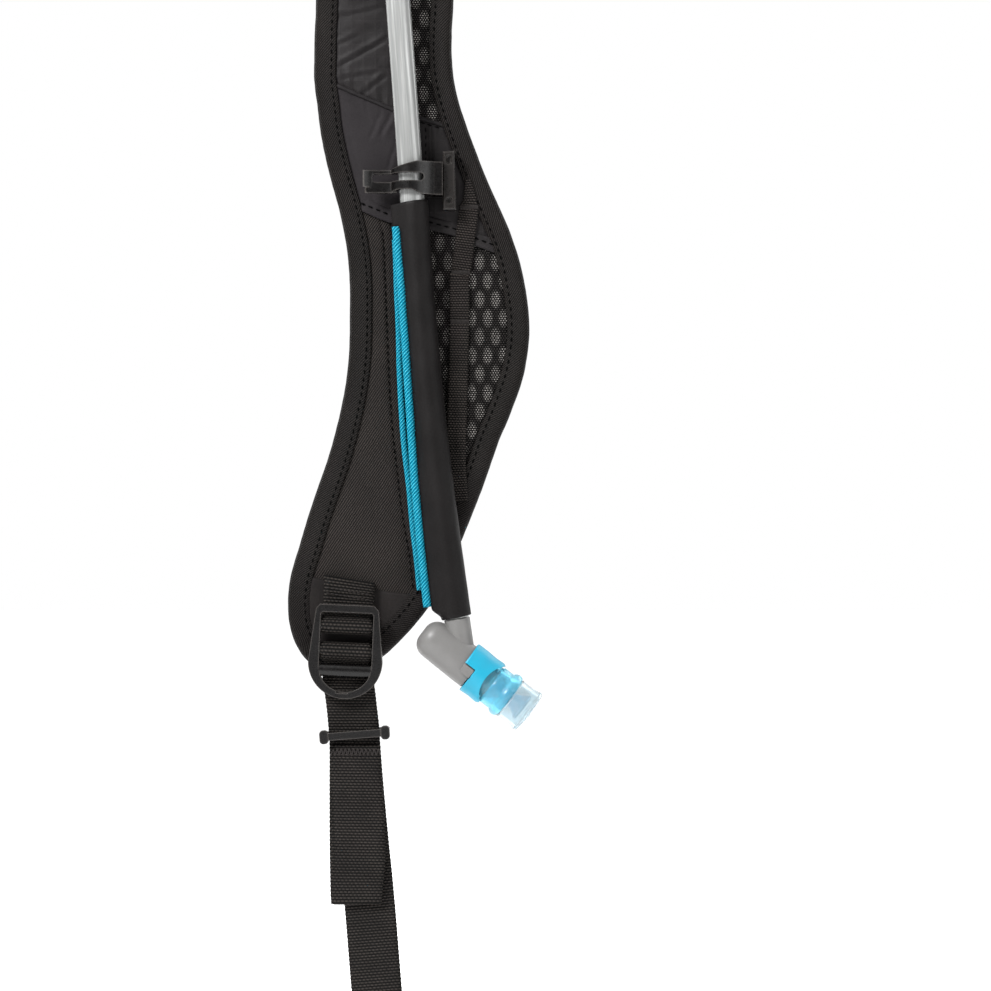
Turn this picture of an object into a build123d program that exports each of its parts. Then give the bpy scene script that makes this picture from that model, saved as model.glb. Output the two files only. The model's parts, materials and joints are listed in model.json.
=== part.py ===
from build123d import *
import math
import os

os.makedirs("parts", exist_ok=True)

# ---------------------------------------------------------------- driving dimensions (mm)
# Frame: origin at the middle of the yoke seam, +Z up, wearer side +Y, outer face -Y, +X to the outer face's right.
SHOULDER_R = 75.0          # bend radius of the strap's mid surface over the shoulder
SHOULDER_DEG = 75.0        # bend from the vertical front run to the yoke seam
REF_DROP = 60.0            # straight run from the end of the bend to the outline's reference line

SKIN_OUT = 4.0             # front face of the fabric panels, from the strap's mid surface
SKIN_IN = 3.2
LINING_IN = -2.6
LINING_OUT = -4.0
BIND_OUT = 4.7             # binding tape stands this far from the mid surface, both sides
BIND_W = 8.5               # width of the binding band
EDGE_IN = 0.8              # layers stop this far inside the binding's outer edge

HOSE_OD = 9.5
HOSE_ID = 6.4
HOSE_N = 11.4              # hose centreline in front of the strap's mid surface
WEB_W = 19.4               # 20 mm webbing, woven width
WEB_T = 1.5

LINKS = 6                  # hinged lengths that stand in for the hose's even bend
LINK_L = 26.7
LEAN_TOP = 3.6             # docked hose, degrees from the vertical at the clip and at the elbow
LEAN_STEP = 0.8
SWING_DEG = 10.5           # bend of each length at full swing

VALVE_DEG = 52.6           # valve axis, degrees from straight down

RAD = math.pi / 180.0
YC = SHOULDER_R * math.cos(SHOULDER_DEG * RAD)
ZC = -SHOULDER_R * math.sin(SHOULDER_DEG * RAD)
YF = YC - SHOULDER_R                       # mid surface of the front run
Z_REF = ZC - REF_DROP                      # outline distances are measured down from here


def ny(n):
    """Y of a plane n in front of the front run's mid surface."""
    return YF - n


# ---------------------------------------------------------------- strap outline, (x, distance down)
OUTLINE = [
    (-26.8, -30.0), (-26.6, 0.0), (-27.0, 10.0), (-27.1, 20.0), (-27.2, 30.0), (-26.1, 40.0),
    (-24.9, 50.1), (-22.9, 60.1), (-20.5, 70.1), (-17.7, 80.1), (-15.6, 90.1), (-14.1, 100.1),
    (-13.45, 110.1), (-13.4, 120.1), (-13.5, 130.1), (-14.1, 140.1), (-15.5, 150.2), (-17.5, 160.2),
    (-20.0, 170.2), (-23.1, 180.2), (-26.6, 190.2), (-29.9, 200.2), (-32.9, 210.2), (-35.9, 220.2),
    (-37.3, 230.2), (-36.9, 239.5), (-34.6, 247.6), (-30.6, 253.8), (-25.2, 257.6), (-18.8, 259.2),
    (-12.2, 258.6), (-6.2, 256.4), (0.2, 252.2), (6.4, 246.2), (12.6, 239.4), (18.0, 232.2),
    (22.4, 224.6), (26.1, 216.6), (29.6, 207.9), (32.9, 199.8), (36.0, 191.8), (38.8, 184.4),
    (41.5, 176.6), (44.2, 169.0), (47.3, 161.8), (50.3, 154.0), (52.7, 147.0), (54.4, 139.6),
    (55.6, 130.1), (55.4, 120.1), (54.0, 110.1), (52.0, 100.1), (48.7, 90.1), (44.3, 80.1),
    (39.9, 70.1), (35.9, 60.1), (32.1, 50.1), (28.8, 40.0), (26.5, 30.0), (25.6, 20.0),
    (25.8, 10.0), (26.4, 0.0), (26.8, -30.0),
]
edge_line = Spline(
    *[(x, Z_REF - d) for x, d in OUTLINE], tangents=[(0, -1), (0, 1)]
)


def outline_points(inset):
    if inset == 0:
        return [(x, Z_REF - d) for x, d in OUTLINE]
    pts = []
    for i in range(72):
        u = i / 71.0
        p = edge_line.position_at(u)
        t = edge_line.tangent_at(u)
        pts.append((p.X - t.Y * inset, p.Y + t.X * inset))
    return pts


def outline_sketch(inset):
    """The strap's front outline, moved in by inset, carried straight up past the yoke."""
    pts = outline_points(inset)
    top = 60.0
    with BuildSketch(Plane.XZ.offset(-150)) as sk:
        with BuildLine():
            Spline(*pts, tangents=[(0, -1), (0, 1)])
            Polyline(pts[-1], (pts[-1][0], top), (pts[0][0], top), pts[0])
        make_face()
    return sk.sketch


def slab_sketch(n0, n1, z_low=-420.0, deg=SHOULDER_DEG, z_high=None):
    """Side section of a layer that lies between n0 and n1 and follows the shoulder bend."""
    ro, ri = SHOULDER_R + n1, SHOULDER_R + n0
    a, m = deg * RAD, deg * RAD / 2
    with BuildSketch(Plane.YZ.offset(-90)) as sk:
        with BuildLine():
            if z_high is not None:
                Polyline((YC - ro, z_low), (YC - ro, z_high), (YC - ri, z_high), (YC - ri, z_low), close=True)
            else:
                Line((YC - ro, z_low), (YC - ro, ZC))
                ThreePointArc(
                    (YC - ro, ZC),
                    (YC - ro * math.cos(m), ZC + ro * math.sin(m)),
                    (YC - ro * math.cos(a), ZC + ro * math.sin(a)),
                )
                Line(
                    (YC - ro * math.cos(a), ZC + ro * math.sin(a)),
                    (YC - ri * math.cos(a), ZC + ri * math.sin(a)),
                )
                ThreePointArc(
                    (YC - ri * math.cos(a), ZC + ri * math.sin(a)),
                    (YC - ri * math.cos(m), ZC + ri * math.sin(m)),
                    (YC - ri, ZC),
                )
                Polyline((YC - ri, ZC), (YC - ri, z_low), (YC - ro, z_low))
        make_face()
    return sk.sketch


def region_sketch(points):
    """A closed region of the front face; points are (x, distance down)."""
    with BuildSketch(Plane.XZ.offset(-150)) as sk:
        with BuildLine():
            Polyline(*[(x, Z_REF - d) for x, d in points], close=True)
        make_face()
    return sk.sketch


def save(builder, name):
    builder.part.label = name
    export_step(builder.part, f"parts/{name}.step")


OUT_0 = outline_sketch(0)
OUT_LAYER = outline_sketch(EDGE_IN)
OUT_BAND = outline_sketch(BIND_W)

# ---------------------------------------------------------------- strap layers
MAGNETS_D = (128.0, 196.0)                 # docking magnets, distance down
with BuildPart() as foam_core:
    add(slab_sketch(LINING_IN, SKIN_IN))
    extrude(amount=180, dir=(1, 0, 0))
    add(OUT_LAYER)
    extrude(amount=300, dir=(0, -1, 0), mode=Mode.INTERSECT)
    for d in MAGNETS_D:
        with BuildSketch(Plane.XZ.offset(-ny(SKIN_IN))):
            with Locations((5.2 if d < 150 else 8.6, Z_REF - d)):
                Rectangle(6.2, 20.2)
        extrude(amount=-2.2, mode=Mode.SUBTRACT)
save(foam_core, "foam_core")

for i, d in enumerate(MAGNETS_D):
    with BuildPart() as magnet:
        with BuildSketch(Plane.XZ.offset(-ny(SKIN_IN - 0.1))):
            with Locations((5.2 if d < 150 else 8.6, Z_REF - d)):
                RectangleRounded(6.0, 20.0, 1.0)
        extrude(amount=-2.0)
    save(magnet, "dock_magnet_upper" if i == 0 else "dock_magnet_lower")

with BuildPart() as back_lining:
    add(slab_sketch(LINING_OUT, LINING_IN))
    extrude(amount=180, dir=(1, 0, 0))
    add(OUT_LAYER)
    extrude(amount=300, dir=(0, -1, 0), mode=Mode.INTERSECT)
save(back_lining, "back_lining")

HIGH = -220.0                              # above the yoke, in distance down
UNDER_HOSE = [(5.0, HIGH), (5.0, 0.0), (7.6, 44.0)]
DOCK_SEAM = [(1.9, 85.4), (1.9, 150.0), (2.7, 163.2), (7.9, 205.6), (10.6, 223.7), (11.0, 229.0), (9.6, 262.0)]
REGIONS = {
    "panel_shoulder": [(-60, HIGH), (5.0, HIGH), (5.0, 0.0), (7.6, 44.0), (-1.0, 40.4), (-18.5, 33.1), (-60, 15.8)],
    "mesh_shoulder": [(5.0, HIGH), (60, HIGH), (60, 61.0), (22.4, 48.5), (13.1, 45.4), (7.6, 44.0), (5.0, 0.0)],
    "panel_chest_left": [(-60, 15.8), (-18.5, 33.1), (-1.0, 40.4), (7.6, 44.0), (10.4, 86.4), (2.1, 85.5), (1.9, 85.4), (-7.9, 81.2), (-60, 58.8)],
    "panel_chest_right": [(7.6, 44.0), (13.1, 45.4), (22.4, 48.5), (60, 61.0), (60, 104.4), (42.5, 97.0), (34.8, 94.3), (26.8, 90.7), (18.7, 88.6), (10.4, 86.4)],
    "panel_lower": [(-60, 58.8), (-7.9, 81.2), (1.9, 85.4), (1.9, 150.0), (2.7, 163.2), (7.9, 205.6), (10.6, 223.7), (11.0, 229.0), (9.6, 275.0), (-60, 275.0)],
    "mesh_lower": [(1.9, 85.4), (2.1, 85.5), (10.4, 86.4), (18.7, 88.6), (26.8, 90.7), (34.8, 94.3), (42.5, 97.0), (60, 104.4), (60, 275.0), (9.6, 275.0), (11.0, 229.0), (10.6, 223.7), (7.9, 205.6), (2.7, 163.2), (1.9, 150.0)],
}
for name, region in REGIONS.items():
    with BuildPart() as panel:
        add(slab_sketch(SKIN_IN, SKIN_OUT))
        extrude(amount=180, dir=(1, 0, 0))
        add(OUT_LAYER)
        extrude(amount=300, dir=(0, -1, 0), mode=Mode.INTERSECT)
        add(region_sketch(region))
        extrude(amount=300, dir=(0, -1, 0), mode=Mode.INTERSECT)
    save(panel, name)

with BuildPart() as edge_binding:
    add(slab_sketch(-BIND_OUT, BIND_OUT))
    extrude(amount=180, dir=(1, 0, 0))
    add(OUT_0)
    extrude(amount=300, dir=(0, -1, 0), mode=Mode.INTERSECT)
    add(OUT_BAND)
    extrude(amount=300, dir=(0, -1, 0), mode=Mode.SUBTRACT)
    with BuildPart(mode=Mode.PRIVATE) as filling:
        add(slab_sketch(LINING_OUT, SKIN_OUT))
        extrude(amount=180, dir=(1, 0, 0))
        add(OUT_LAYER)
        extrude(amount=300, dir=(0, -1, 0), mode=Mode.INTERSECT)
    add(filling.part, mode=Mode.SUBTRACT)
save(edge_binding, "edge_binding")

# folded hems that overlap the panels below them
HEM_L = [(-9.5, 80.6), (2.1, 85.5), (9.0, 87.0), (9.0, 83.4), (2.6, 82.0), (-9.5, 77.0)]
HEM_R = [(14.0, 87.4), (18.7, 88.6), (26.8, 90.7), (34.8, 94.3), (44.5, 97.9), (44.5, 94.5), (35.8, 91.0), (27.6, 87.3), (19.0, 85.2), (14.0, 84.0)]
for name, region in (("hem_left", HEM_L), ("hem_right", HEM_R)):
    with BuildPart() as hem:
        add(slab_sketch(SKIN_OUT, SKIN_OUT + 0.6, z_low=-400, z_high=-120))
        extrude(amount=180, dir=(1, 0, 0))
        add(region_sketch(region))
        extrude(amount=300, dir=(0, -1, 0), mode=Mode.INTERSECT)
        add(OUT_BAND)
        extrude(amount=300, dir=(0, -1, 0), mode=Mode.INTERSECT)
    save(hem, name)

with BuildPart() as tip_patch:
    add(slab_sketch(SKIN_OUT, SKIN_OUT + 0.6, z_low=-420, z_high=-120))
    extrude(amount=180, dir=(1, 0, 0))
    add(region_sketch([(-40, 221.0), (-27.1, 222.2), (-21.4, 223.7), (-0.6, 227.5), (11.0, 228.7), (0.2, 244.0), (-10.0, 262.0), (-40, 262.0)]))
    extrude(amount=300, dir=(0, -1, 0), mode=Mode.INTERSECT)
    add(OUT_BAND)
    extrude(amount=300, dir=(0, -1, 0), mode=Mode.INTERSECT)
save(tip_patch, "tip_patch")

# narrow webbing sewn down the right side, in bar-tacked lengths
GEAR_WEB = [(32.1, 66.0), (32.8, 77.8), (32.4, 81.0), (29.7, 103.2), (28.9, 107.0), (28.9, 124.0), (27.6, 173.0), (28.4, 193.3)]
with BuildPart() as gear_webbing:
    add(slab_sketch(SKIN_OUT, SKIN_OUT + 1.0, z_low=-400, z_high=-120))
    extrude(amount=180, dir=(1, 0, 0))
    add(region_sketch([(x - 3.7, d) for x, d in GEAR_WEB] + [(x + 3.7, d) for x, d in reversed(GEAR_WEB)]))
    extrude(amount=300, dir=(0, -1, 0), mode=Mode.INTERSECT)
    add(OUT_BAND)
    extrude(amount=300, dir=(0, -1, 0), mode=Mode.INTERSECT)
    with BuildPart(mode=Mode.PRIVATE) as hem_room:
        add(slab_sketch(SKIN_OUT, SKIN_OUT + 0.6, z_low=-400, z_high=-120))
        extrude(amount=180, dir=(1, 0, 0))
        add(region_sketch(HEM_R))
        extrude(amount=300, dir=(0, -1, 0), mode=Mode.INTERSECT)
    add(hem_room.part, mode=Mode.SUBTRACT)
save(gear_webbing, "gear_webbing")

# docking piping sewn on the strap, round cord
PIPE = [(3.6, 92.4), (4.4, 112.0), (5.4, 136.0), (6.8, 161.7), (10.2, 194.0), (13.7, 227.2)]
with BuildPart() as dock_piping:
    with BuildLine() as pipe_path:
        Spline(*[(x, ny(SKIN_OUT + 1.25), Z_REF - d) for x, d in PIPE])
    with BuildSketch(Plane(origin=pipe_path.line @ 0, z_dir=pipe_path.line % 0)):
        Circle(1.25)
    sweep()
    add(OUT_BAND)
    extrude(amount=300, dir=(0, -1, 0), mode=Mode.INTERSECT)
save(dock_piping, "dock_piping")

# ---------------------------------------------------------------- yoke end
YOKE_T = (0, math.sin(SHOULDER_DEG * RAD), math.cos(SHOULDER_DEG * RAD))   # strap's direction at the seam
YOKE_PLANE = Plane(origin=(0, 0, 0), x_dir=(1, 0, 0), z_dir=YOKE_T)
with BuildPart() as yoke_tongue:
    with BuildSketch(YOKE_PLANE):
        Rectangle(50.0, 2.4)
    extrude(amount=18.0)
    with BuildSketch(YOKE_PLANE):
        Rectangle(53.6, 9.4)
    extrude(amount=2.0)
save(yoke_tongue, "yoke_tongue")

# ---------------------------------------------------------------- drink hose route
A_X, A_Z = 11.0, Z_REF - 77.0              # lower end of the clip on the hose's centreline
HOSE_Y = ny(HOSE_N)


def swing_plane_points():
    """Hinge centres down the docked hose, then the hose's end at the elbow."""
    x, z = A_X, A_Z
    pts = []
    for k in range(LINKS + 1):
        a = (LEAN_TOP + k * LEAN_STEP) * RAD
        step = LINK_L / 2 if k in (0, LINKS) else LINK_L
        x, z = x + step * math.sin(a), z - step * math.cos(a)
        pts.append((x, HOSE_Y, z))
    return pts


PIVOTS = swing_plane_points()
HOSE_END = PIVOTS[-1]

R_OVER = SHOULDER_R + HOSE_N
R_DOWN = 55.0
Z_CREST = ZC + R_OVER
ROUTE = [PIVOTS[0], (9.55, HOSE_Y, -189.5), (5.9, HOSE_Y, -140.5), (2.7, HOSE_Y - 0.01, -99.0)]
for x, deg in ((0.6, 11.25), (-2.2, 33.75), (-5.0, 56.25), (-7.6, 78.75)):
    r = R_OVER / math.cos(11.25 * RAD)
    ROUTE.append((x, YC - r * math.cos(deg * RAD), ZC + r * math.sin(deg * RAD)))
for x, deg in ((-9.6, 11.25), (-11.3, 33.75), (-12.6, 56.25), (-13.5, 78.75)):
    r = R_DOWN / math.cos(11.25 * RAD)
    ROUTE.append((x, YC + r * math.sin(deg * RAD), Z_CREST - R_DOWN + r * math.cos(deg * RAD)))
ROUTE += [
    (-14.1, 75.2, -84.0), (-14.6, 76.1, -140.0), (-14.0, 75.1, -196.0), (-14.7, 74.3, -250.0),
    (-14.2, 75.0, -302.0), (-14.3, 75.2, -346.0),
]


def route_radii(points):
    radii = []
    for a, b, c in zip(points, points[1:], points[2:]):
        u, v = Vector(*b) - Vector(*a), Vector(*c) - Vector(*b)
        half = u.get_angle(v) / 2 * RAD
        radii.append(0.45 * min(u.length, v.length) / math.tan(half))
    return radii


RADII = route_radii(ROUTE)
print("hose radii", [round(r) for r in RADII])
SPLIT = 6                                   # the run inside the yoke loop, from point 6 to point 7
MID = tuple((p + q) / 2 for p, q in zip(ROUTE[SPLIT], ROUTE[SPLIT + 1]))
print("hose exit at the yoke loop", [round(v, 2) for v in MID])

for name, pts, radii in (
    ("hose_upper", ROUTE[: SPLIT + 1] + [MID], RADII[:SPLIT]),
    ("hose_tail", [MID] + ROUTE[SPLIT + 1:], RADII[SPLIT:]),
):
    with BuildPart() as tube:
        with BuildLine() as way:
            FilletPolyline(*pts, radius=radii)
        with BuildSketch(Plane(origin=way.line @ 0, z_dir=way.line % 0)):
            Circle(HOSE_OD / 2)
            Circle(HOSE_ID / 2, mode=Mode.SUBTRACT)
        sweep()
    length = sum(e.length for e in way.edges())
    area = math.pi * (HOSE_OD ** 2 - HOSE_ID ** 2) / 4
    print(name, "length", round(length, 1), "volume ratio", round(tube.part.volume / (area * length), 4))
    if name == "hose_upper":
        held_hose = tube.part                   # its lower end is cut for the swing further on
    else:
        save(tube, name)

# ---------------------------------------------------------------- fabric loops that hold the hose
def loop_plane(deg):
    a = deg * RAD
    return Plane(
        origin=(0, YC - SHOULDER_R * math.cos(a), ZC + SHOULDER_R * math.sin(a)),
        x_dir=(1, 0, 0),
        z_dir=(0, math.sin(a), math.cos(a)),
    )


for name, deg, x in (("hose_loop_shoulder", 22.5, -0.8), ("hose_loop_yoke", 67.5, -6.3)):
    with BuildPart() as loop:
        with BuildSketch(loop_plane(deg).offset(-7)):
            with Locations((x, -HOSE_N)):
                Circle(6.45)
            with Locations((x, -SKIN_OUT - 1.0)):
                Rectangle(17.0, 0.9)
            make_hull()
            with Locations((x, -HOSE_N)):
                Circle(5.55, mode=Mode.SUBTRACT)
        extrude(amount=14.0)
    save(loop, name)

# ---------------------------------------------------------------- hose clip and its spine
CLIP_X = 10.4                               # hose centre at the clip
CLIP_Z = Z_REF - 69.6
CLIP_H = 12.6
FRONT = HOSE_N + 5.0
with BuildPart() as hose_clip:
    with BuildSketch(Plane.XY.offset(CLIP_Z - CLIP_H / 2)):
        with BuildLine():
            # seat behind the hose, side wall, then the finger over the front, down past the hose and out to the lip
            Polyline((CLIP_X + 12.2, ny(BIND_OUT)), (CLIP_X - 2.0, ny(BIND_OUT)))
            Polyline((CLIP_X - 2.0, ny(BIND_OUT)), (CLIP_X - 2.0, HOSE_Y + 4.85), (CLIP_X, HOSE_Y + 5.25))
            ThreePointArc((CLIP_X, HOSE_Y + 5.25), (CLIP_X + 5.25, HOSE_Y), (CLIP_X, HOSE_Y - 5.25))
            ThreePointArc((CLIP_X, HOSE_Y - 5.25), (CLIP_X - 4.4, HOSE_Y - 2.86), (CLIP_X - 5.1, HOSE_Y + 1.2))
            Line((CLIP_X - 5.1, HOSE_Y + 1.2), (CLIP_X - 7.2, HOSE_Y + 2.2))
            ThreePointArc((CLIP_X - 7.2, HOSE_Y + 2.2), (CLIP_X - 12.0, HOSE_Y + 2.3), (CLIP_X - 17.6, HOSE_Y + 0.2))
            Line((CLIP_X - 17.6, HOSE_Y + 0.2), (CLIP_X - 18.4, HOSE_Y - 1.4))
            ThreePointArc((CLIP_X - 18.4, HOSE_Y - 1.4), (CLIP_X - 12.4, HOSE_Y + 0.5), (CLIP_X - 7.6, HOSE_Y + 0.2))
            ThreePointArc((CLIP_X - 7.6, HOSE_Y + 0.2), (CLIP_X - 5.7, HOSE_Y - 4.3), (CLIP_X, HOSE_Y - 7.1))
            ThreePointArc((CLIP_X, HOSE_Y - 7.1), (CLIP_X + 5.0, HOSE_Y - 5.4), (CLIP_X + 8.9, HOSE_Y - 2.6))
            Polyline((CLIP_X + 8.9, HOSE_Y - 2.6), (CLIP_X + 12.2, HOSE_Y - 2.0), (CLIP_X + 12.2, ny(BIND_OUT)))
        make_face()
    extrude(amount=CLIP_H)
    # slot that splits the finger in two, and the finger's waist towards the lip
    with BuildSketch(Plane.XZ.offset(-HOSE_Y)):
        with Locations((CLIP_X - 5.0, CLIP_Z + 0.3)):
            SlotOverall(20.0, 3.0)
        with BuildLine():
            Polyline(
                (CLIP_X - 20, CLIP_Z + 10), (CLIP_X - 20, CLIP_Z + 3.3), (CLIP_X - 8.5, CLIP_Z + 3.3),
                (CLIP_X + 2.5, CLIP_Z + 6.31), (CLIP_X + 2.5, CLIP_Z + 10), close=True,
            )
        make_face()
        with BuildLine():
            Polyline(
                (CLIP_X - 20, CLIP_Z - 10), (CLIP_X - 20, CLIP_Z - 3.2), (CLIP_X - 16.0, CLIP_Z - 3.2),
                (CLIP_X - 10.6, CLIP_Z - 6.0), (CLIP_X - 5.0, CLIP_Z - 4.6), (CLIP_X + 0.5, CLIP_Z - 4.6),
                (CLIP_X + 4.0, CLIP_Z - 6.31), (CLIP_X + 4.0, CLIP_Z - 10), close=True,
            )
        make_face()
    extrude(amount=12, mode=Mode.SUBTRACT)
    with BuildSketch(Plane.XZ.offset(-HOSE_Y)):
        with Locations((CLIP_X - 12.0, CLIP_Z + 8)):
            Rectangle(16.0, 9.4)
        with Locations((CLIP_X - 12.0, CLIP_Z - 8.6)):
            Rectangle(16.0, 6.4)
        with Locations((CLIP_X - 8.0, CLIP_Z + 0.3)):
            SlotOverall(14.0, 3.0)
    extrude(amount=-3.6, mode=Mode.SUBTRACT)
save(hose_clip, "hose_clip")

SPINE_X = CLIP_X + 12.2
with BuildPart() as clip_spine:
    with BuildSketch(Plane.XZ.offset(-ny(BIND_OUT))):
        with BuildLine():
            Polyline(
                (SPINE_X, CLIP_Z + 10.6), (SPINE_X + 4.4, CLIP_Z + 10.9), (SPINE_X + 5.0, CLIP_Z - 11.6),
                (SPINE_X + 0.2, CLIP_Z - 11.8), (SPINE_X, CLIP_Z - 8.6), close=True,
            )
        make_face()
    extrude(amount=6.4)
    with BuildSketch(Plane.XZ.offset(-ny(BIND_OUT + 6.4))):
        with Locations((SPINE_X + 2.3, CLIP_Z + 7.4)):
            SlotOverall(2.8, 1.7, rotation=90)
        with Locations((SPINE_X + 2.4, CLIP_Z - 8.2)):
            Circle(0.9)
    extrude(amount=-1.4, mode=Mode.SUBTRACT)
    chamfer(clip_spine.faces().sort_by(Axis.Y)[0].edges(), 0.5)
save(clip_spine, "clip_spine")

# ---------------------------------------------------------------- hinged lengths of hose, sleeve and piping
GAP = 0.15
WEDGE = SWING_DEG / 2 + 1.4


def link_plane(index, along=0.0):
    """Plane across the hose at hinge index, its z along the hose's run below that hinge."""
    a = (LEAN_TOP + index * LEAN_STEP) * RAD
    if index == 0:
        ox, oz = A_X, A_Z
    else:
        ox, oz = PIVOTS[index - 1][0], PIVOTS[index - 1][2]
    return Plane(
        origin=(ox + along * math.sin(a), HOSE_Y, oz - along * math.cos(a)),
        x_dir=(math.cos(a), 0, math.sin(a)),
        z_dir=(math.sin(a), 0, -math.cos(a)),
    )


def side_plane(index):
    """Plane of the swing: local x across the hose to the right, local y down the hose."""
    a = (LEAN_TOP + index * LEAN_STEP) * RAD
    if index == 0:
        ox, oz = A_X, A_Z
    else:
        ox, oz = PIVOTS[index - 1][0], PIVOTS[index - 1][2]
    return Plane(
        origin=(ox, HOSE_Y, oz),
        x_dir=(math.cos(a), 0, math.sin(a)),
        z_dir=(0, 1, 0),
    )


def wedge_cut(index, length, top, bottom):
    """Room on the inner side of the bend, at the upper and lower ends of a length."""
    t = math.tan(WEDGE * RAD)
    with BuildSketch(side_plane(index).offset(-20)) as sk:
        if top:
            with BuildLine():
                Polyline((0, -1), (0, GAP), (14, GAP + 14 * t), (14, -1), close=True)
            make_face()
        if bottom:
            with BuildLine():
                Polyline((0, length + 1), (0, length - GAP), (14, length - GAP - 14 * t), (14, length + 1), close=True)
            make_face()
    return sk.sketch


with BuildPart() as hose_upper:
    add(held_hose)
    add(wedge_cut(0, LINK_L / 2, False, True))
    extrude(amount=40, dir=(0, 1, 0), mode=Mode.SUBTRACT)
save(hose_upper, "hose_upper")


# distance of the piping's centre from the hose's centre, one for each length from the clip down
PIPE_X = [-8.3, -7.9, -7.7, -8.2, -9.0, -9.9, -10.5]


def sleeve_outer(pipe_x):
    Circle(5.7)
    with Locations((pipe_x + 3.35, 0)):
        Circle(1.7)
    make_hull()


for k in range(0, LINKS + 1):
    length = LINK_L / 2 if k in (0, LINKS) else LINK_L
    start = 0.0 if k == 0 else GAP
    stop = length if k == LINKS else length - GAP
    if k >= 1:
        with BuildPart() as hose_link:
            with BuildSketch(link_plane(k, start)):
                Circle(HOSE_OD / 2)
                Circle(HOSE_ID / 2, mode=Mode.SUBTRACT)
            extrude(amount=(stop + 1.5 if k == LINKS else stop) - start)
            add(wedge_cut(k, length, True, k < LINKS))
            extrude(amount=40, dir=(0, 1, 0), mode=Mode.SUBTRACT)
        save(hose_link, f"hose_link_{k}")
    with BuildPart() as sleeve_link:
        with BuildSketch(link_plane(k, start)):
            sleeve_outer(PIPE_X[k])
            Circle(4.9, mode=Mode.SUBTRACT)
        extrude(amount=stop - start)
        add(wedge_cut(k, length, k > 0, k < LINKS))
        extrude(amount=40, dir=(0, 1, 0), mode=Mode.SUBTRACT)
    save(sleeve_link, f"sleeve_link_{k}")
    p0 = 8.5 if k == 0 else start
    p1 = stop - 3.0 if k == LINKS else stop
    with BuildPart() as piping_link:
        with BuildSketch(link_plane(k, p0)):
            with Locations((PIPE_X[k], 0)):
                Circle(1.6)
        extrude(amount=p1 - p0)
    save(piping_link, f"piping_link_{k}")

# ---------------------------------------------------------------- elbow
LAST = (LEAN_TOP + LINKS * LEAN_STEP) * RAD
NECK = 18.6                                 # hose end to the point where the two axes meet
PX, PZ = HOSE_END[0] + NECK * math.sin(LAST), HOSE_END[2] - NECK * math.cos(LAST)
VA = VALVE_DEG * RAD
VALVE_DIR = (math.sin(VA), 0, -math.cos(VA))


def valve_plane(along):
    return Plane(
        origin=(PX + along * VALVE_DIR[0], HOSE_Y, PZ + along * VALVE_DIR[2]),
        x_dir=(math.cos(VA), 0, math.sin(VA)),
        z_dir=VALVE_DIR,
    )


VALVE_SIDE = Plane(origin=(PX, HOSE_Y, PZ), x_dir=(math.cos(VA), 0, math.sin(VA)), z_dir=(0, 1, 0))
VALVE_AXIS = Axis((PX, HOSE_Y, PZ), VALVE_DIR)
print("elbow centre", round(PX, 3), round(HOSE_Y, 3), round(PZ, 3), "valve dir", [round(v, 5) for v in VALVE_DIR])
print("pivots", [[round(v, 3) for v in p] for p in PIVOTS])

# profiles below are (distance from the valve axis, distance along it from the elbow centre)
with BuildPart() as elbow_body:
    with BuildSketch(VALVE_SIDE):
        with BuildLine():
            Line((0, -19.6), (2.4, -19.6))
            ThreePointArc((2.4, -19.6), (6.0, -17.9), (7.5, -14.2))
            Polyline((7.5, -14.2), (7.9, -0.6), (7.9, 4.6), (7.6, 4.9), (4.4, 4.9), (4.4, 12.0), (3.9, 12.6), (0, 12.6), (0, -19.6))
        make_face()
    revolve(axis=VALVE_AXIS)
    with BuildSketch(link_plane(LINKS, LINK_L / 2 + 1.7)):
        Circle(4.95)
    extrude(amount=NECK - 8.0)
    with BuildSketch(link_plane(LINKS, LINK_L / 2 - 8.0)):
        Circle(3.1)
    extrude(amount=10.0)
    # stop tab on the front, at the end of the collar's skirt
    with BuildSketch(valve_plane(0.5)):
        with Locations((-1.3, 7.7)):
            Rectangle(3.6, 3.0)
    extrude(amount=4.4)
    # water way
    with BuildSketch(valve_plane(12.6)):
        Circle(2.6)
    extrude(amount=-16.0, mode=Mode.SUBTRACT)
    with BuildSketch(link_plane(LINKS, LINK_L / 2 - 8.0)):
        Circle(2.0)
    extrude(amount=NECK + 8.0, mode=Mode.SUBTRACT)
    # groove for the ring seal
    with BuildSketch(VALVE_SIDE):
        with BuildLine():
            Polyline((3.7, 7.0), (5.0, 7.0), (5.0, 8.6), (3.7, 8.6), close=True)
        make_face()
    revolve(axis=VALVE_AXIS, mode=Mode.SUBTRACT)
save(elbow_body, "elbow_body")

with BuildPart() as seal_ring:
    with BuildSketch(VALVE_SIDE):
        with BuildLine():
            Polyline((3.72, 7.1), (4.42, 7.1), (4.42, 8.5), (3.72, 8.5), close=True)
        make_face()
    revolve(axis=VALVE_AXIS)
save(seal_ring, "seal_ring")

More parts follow.
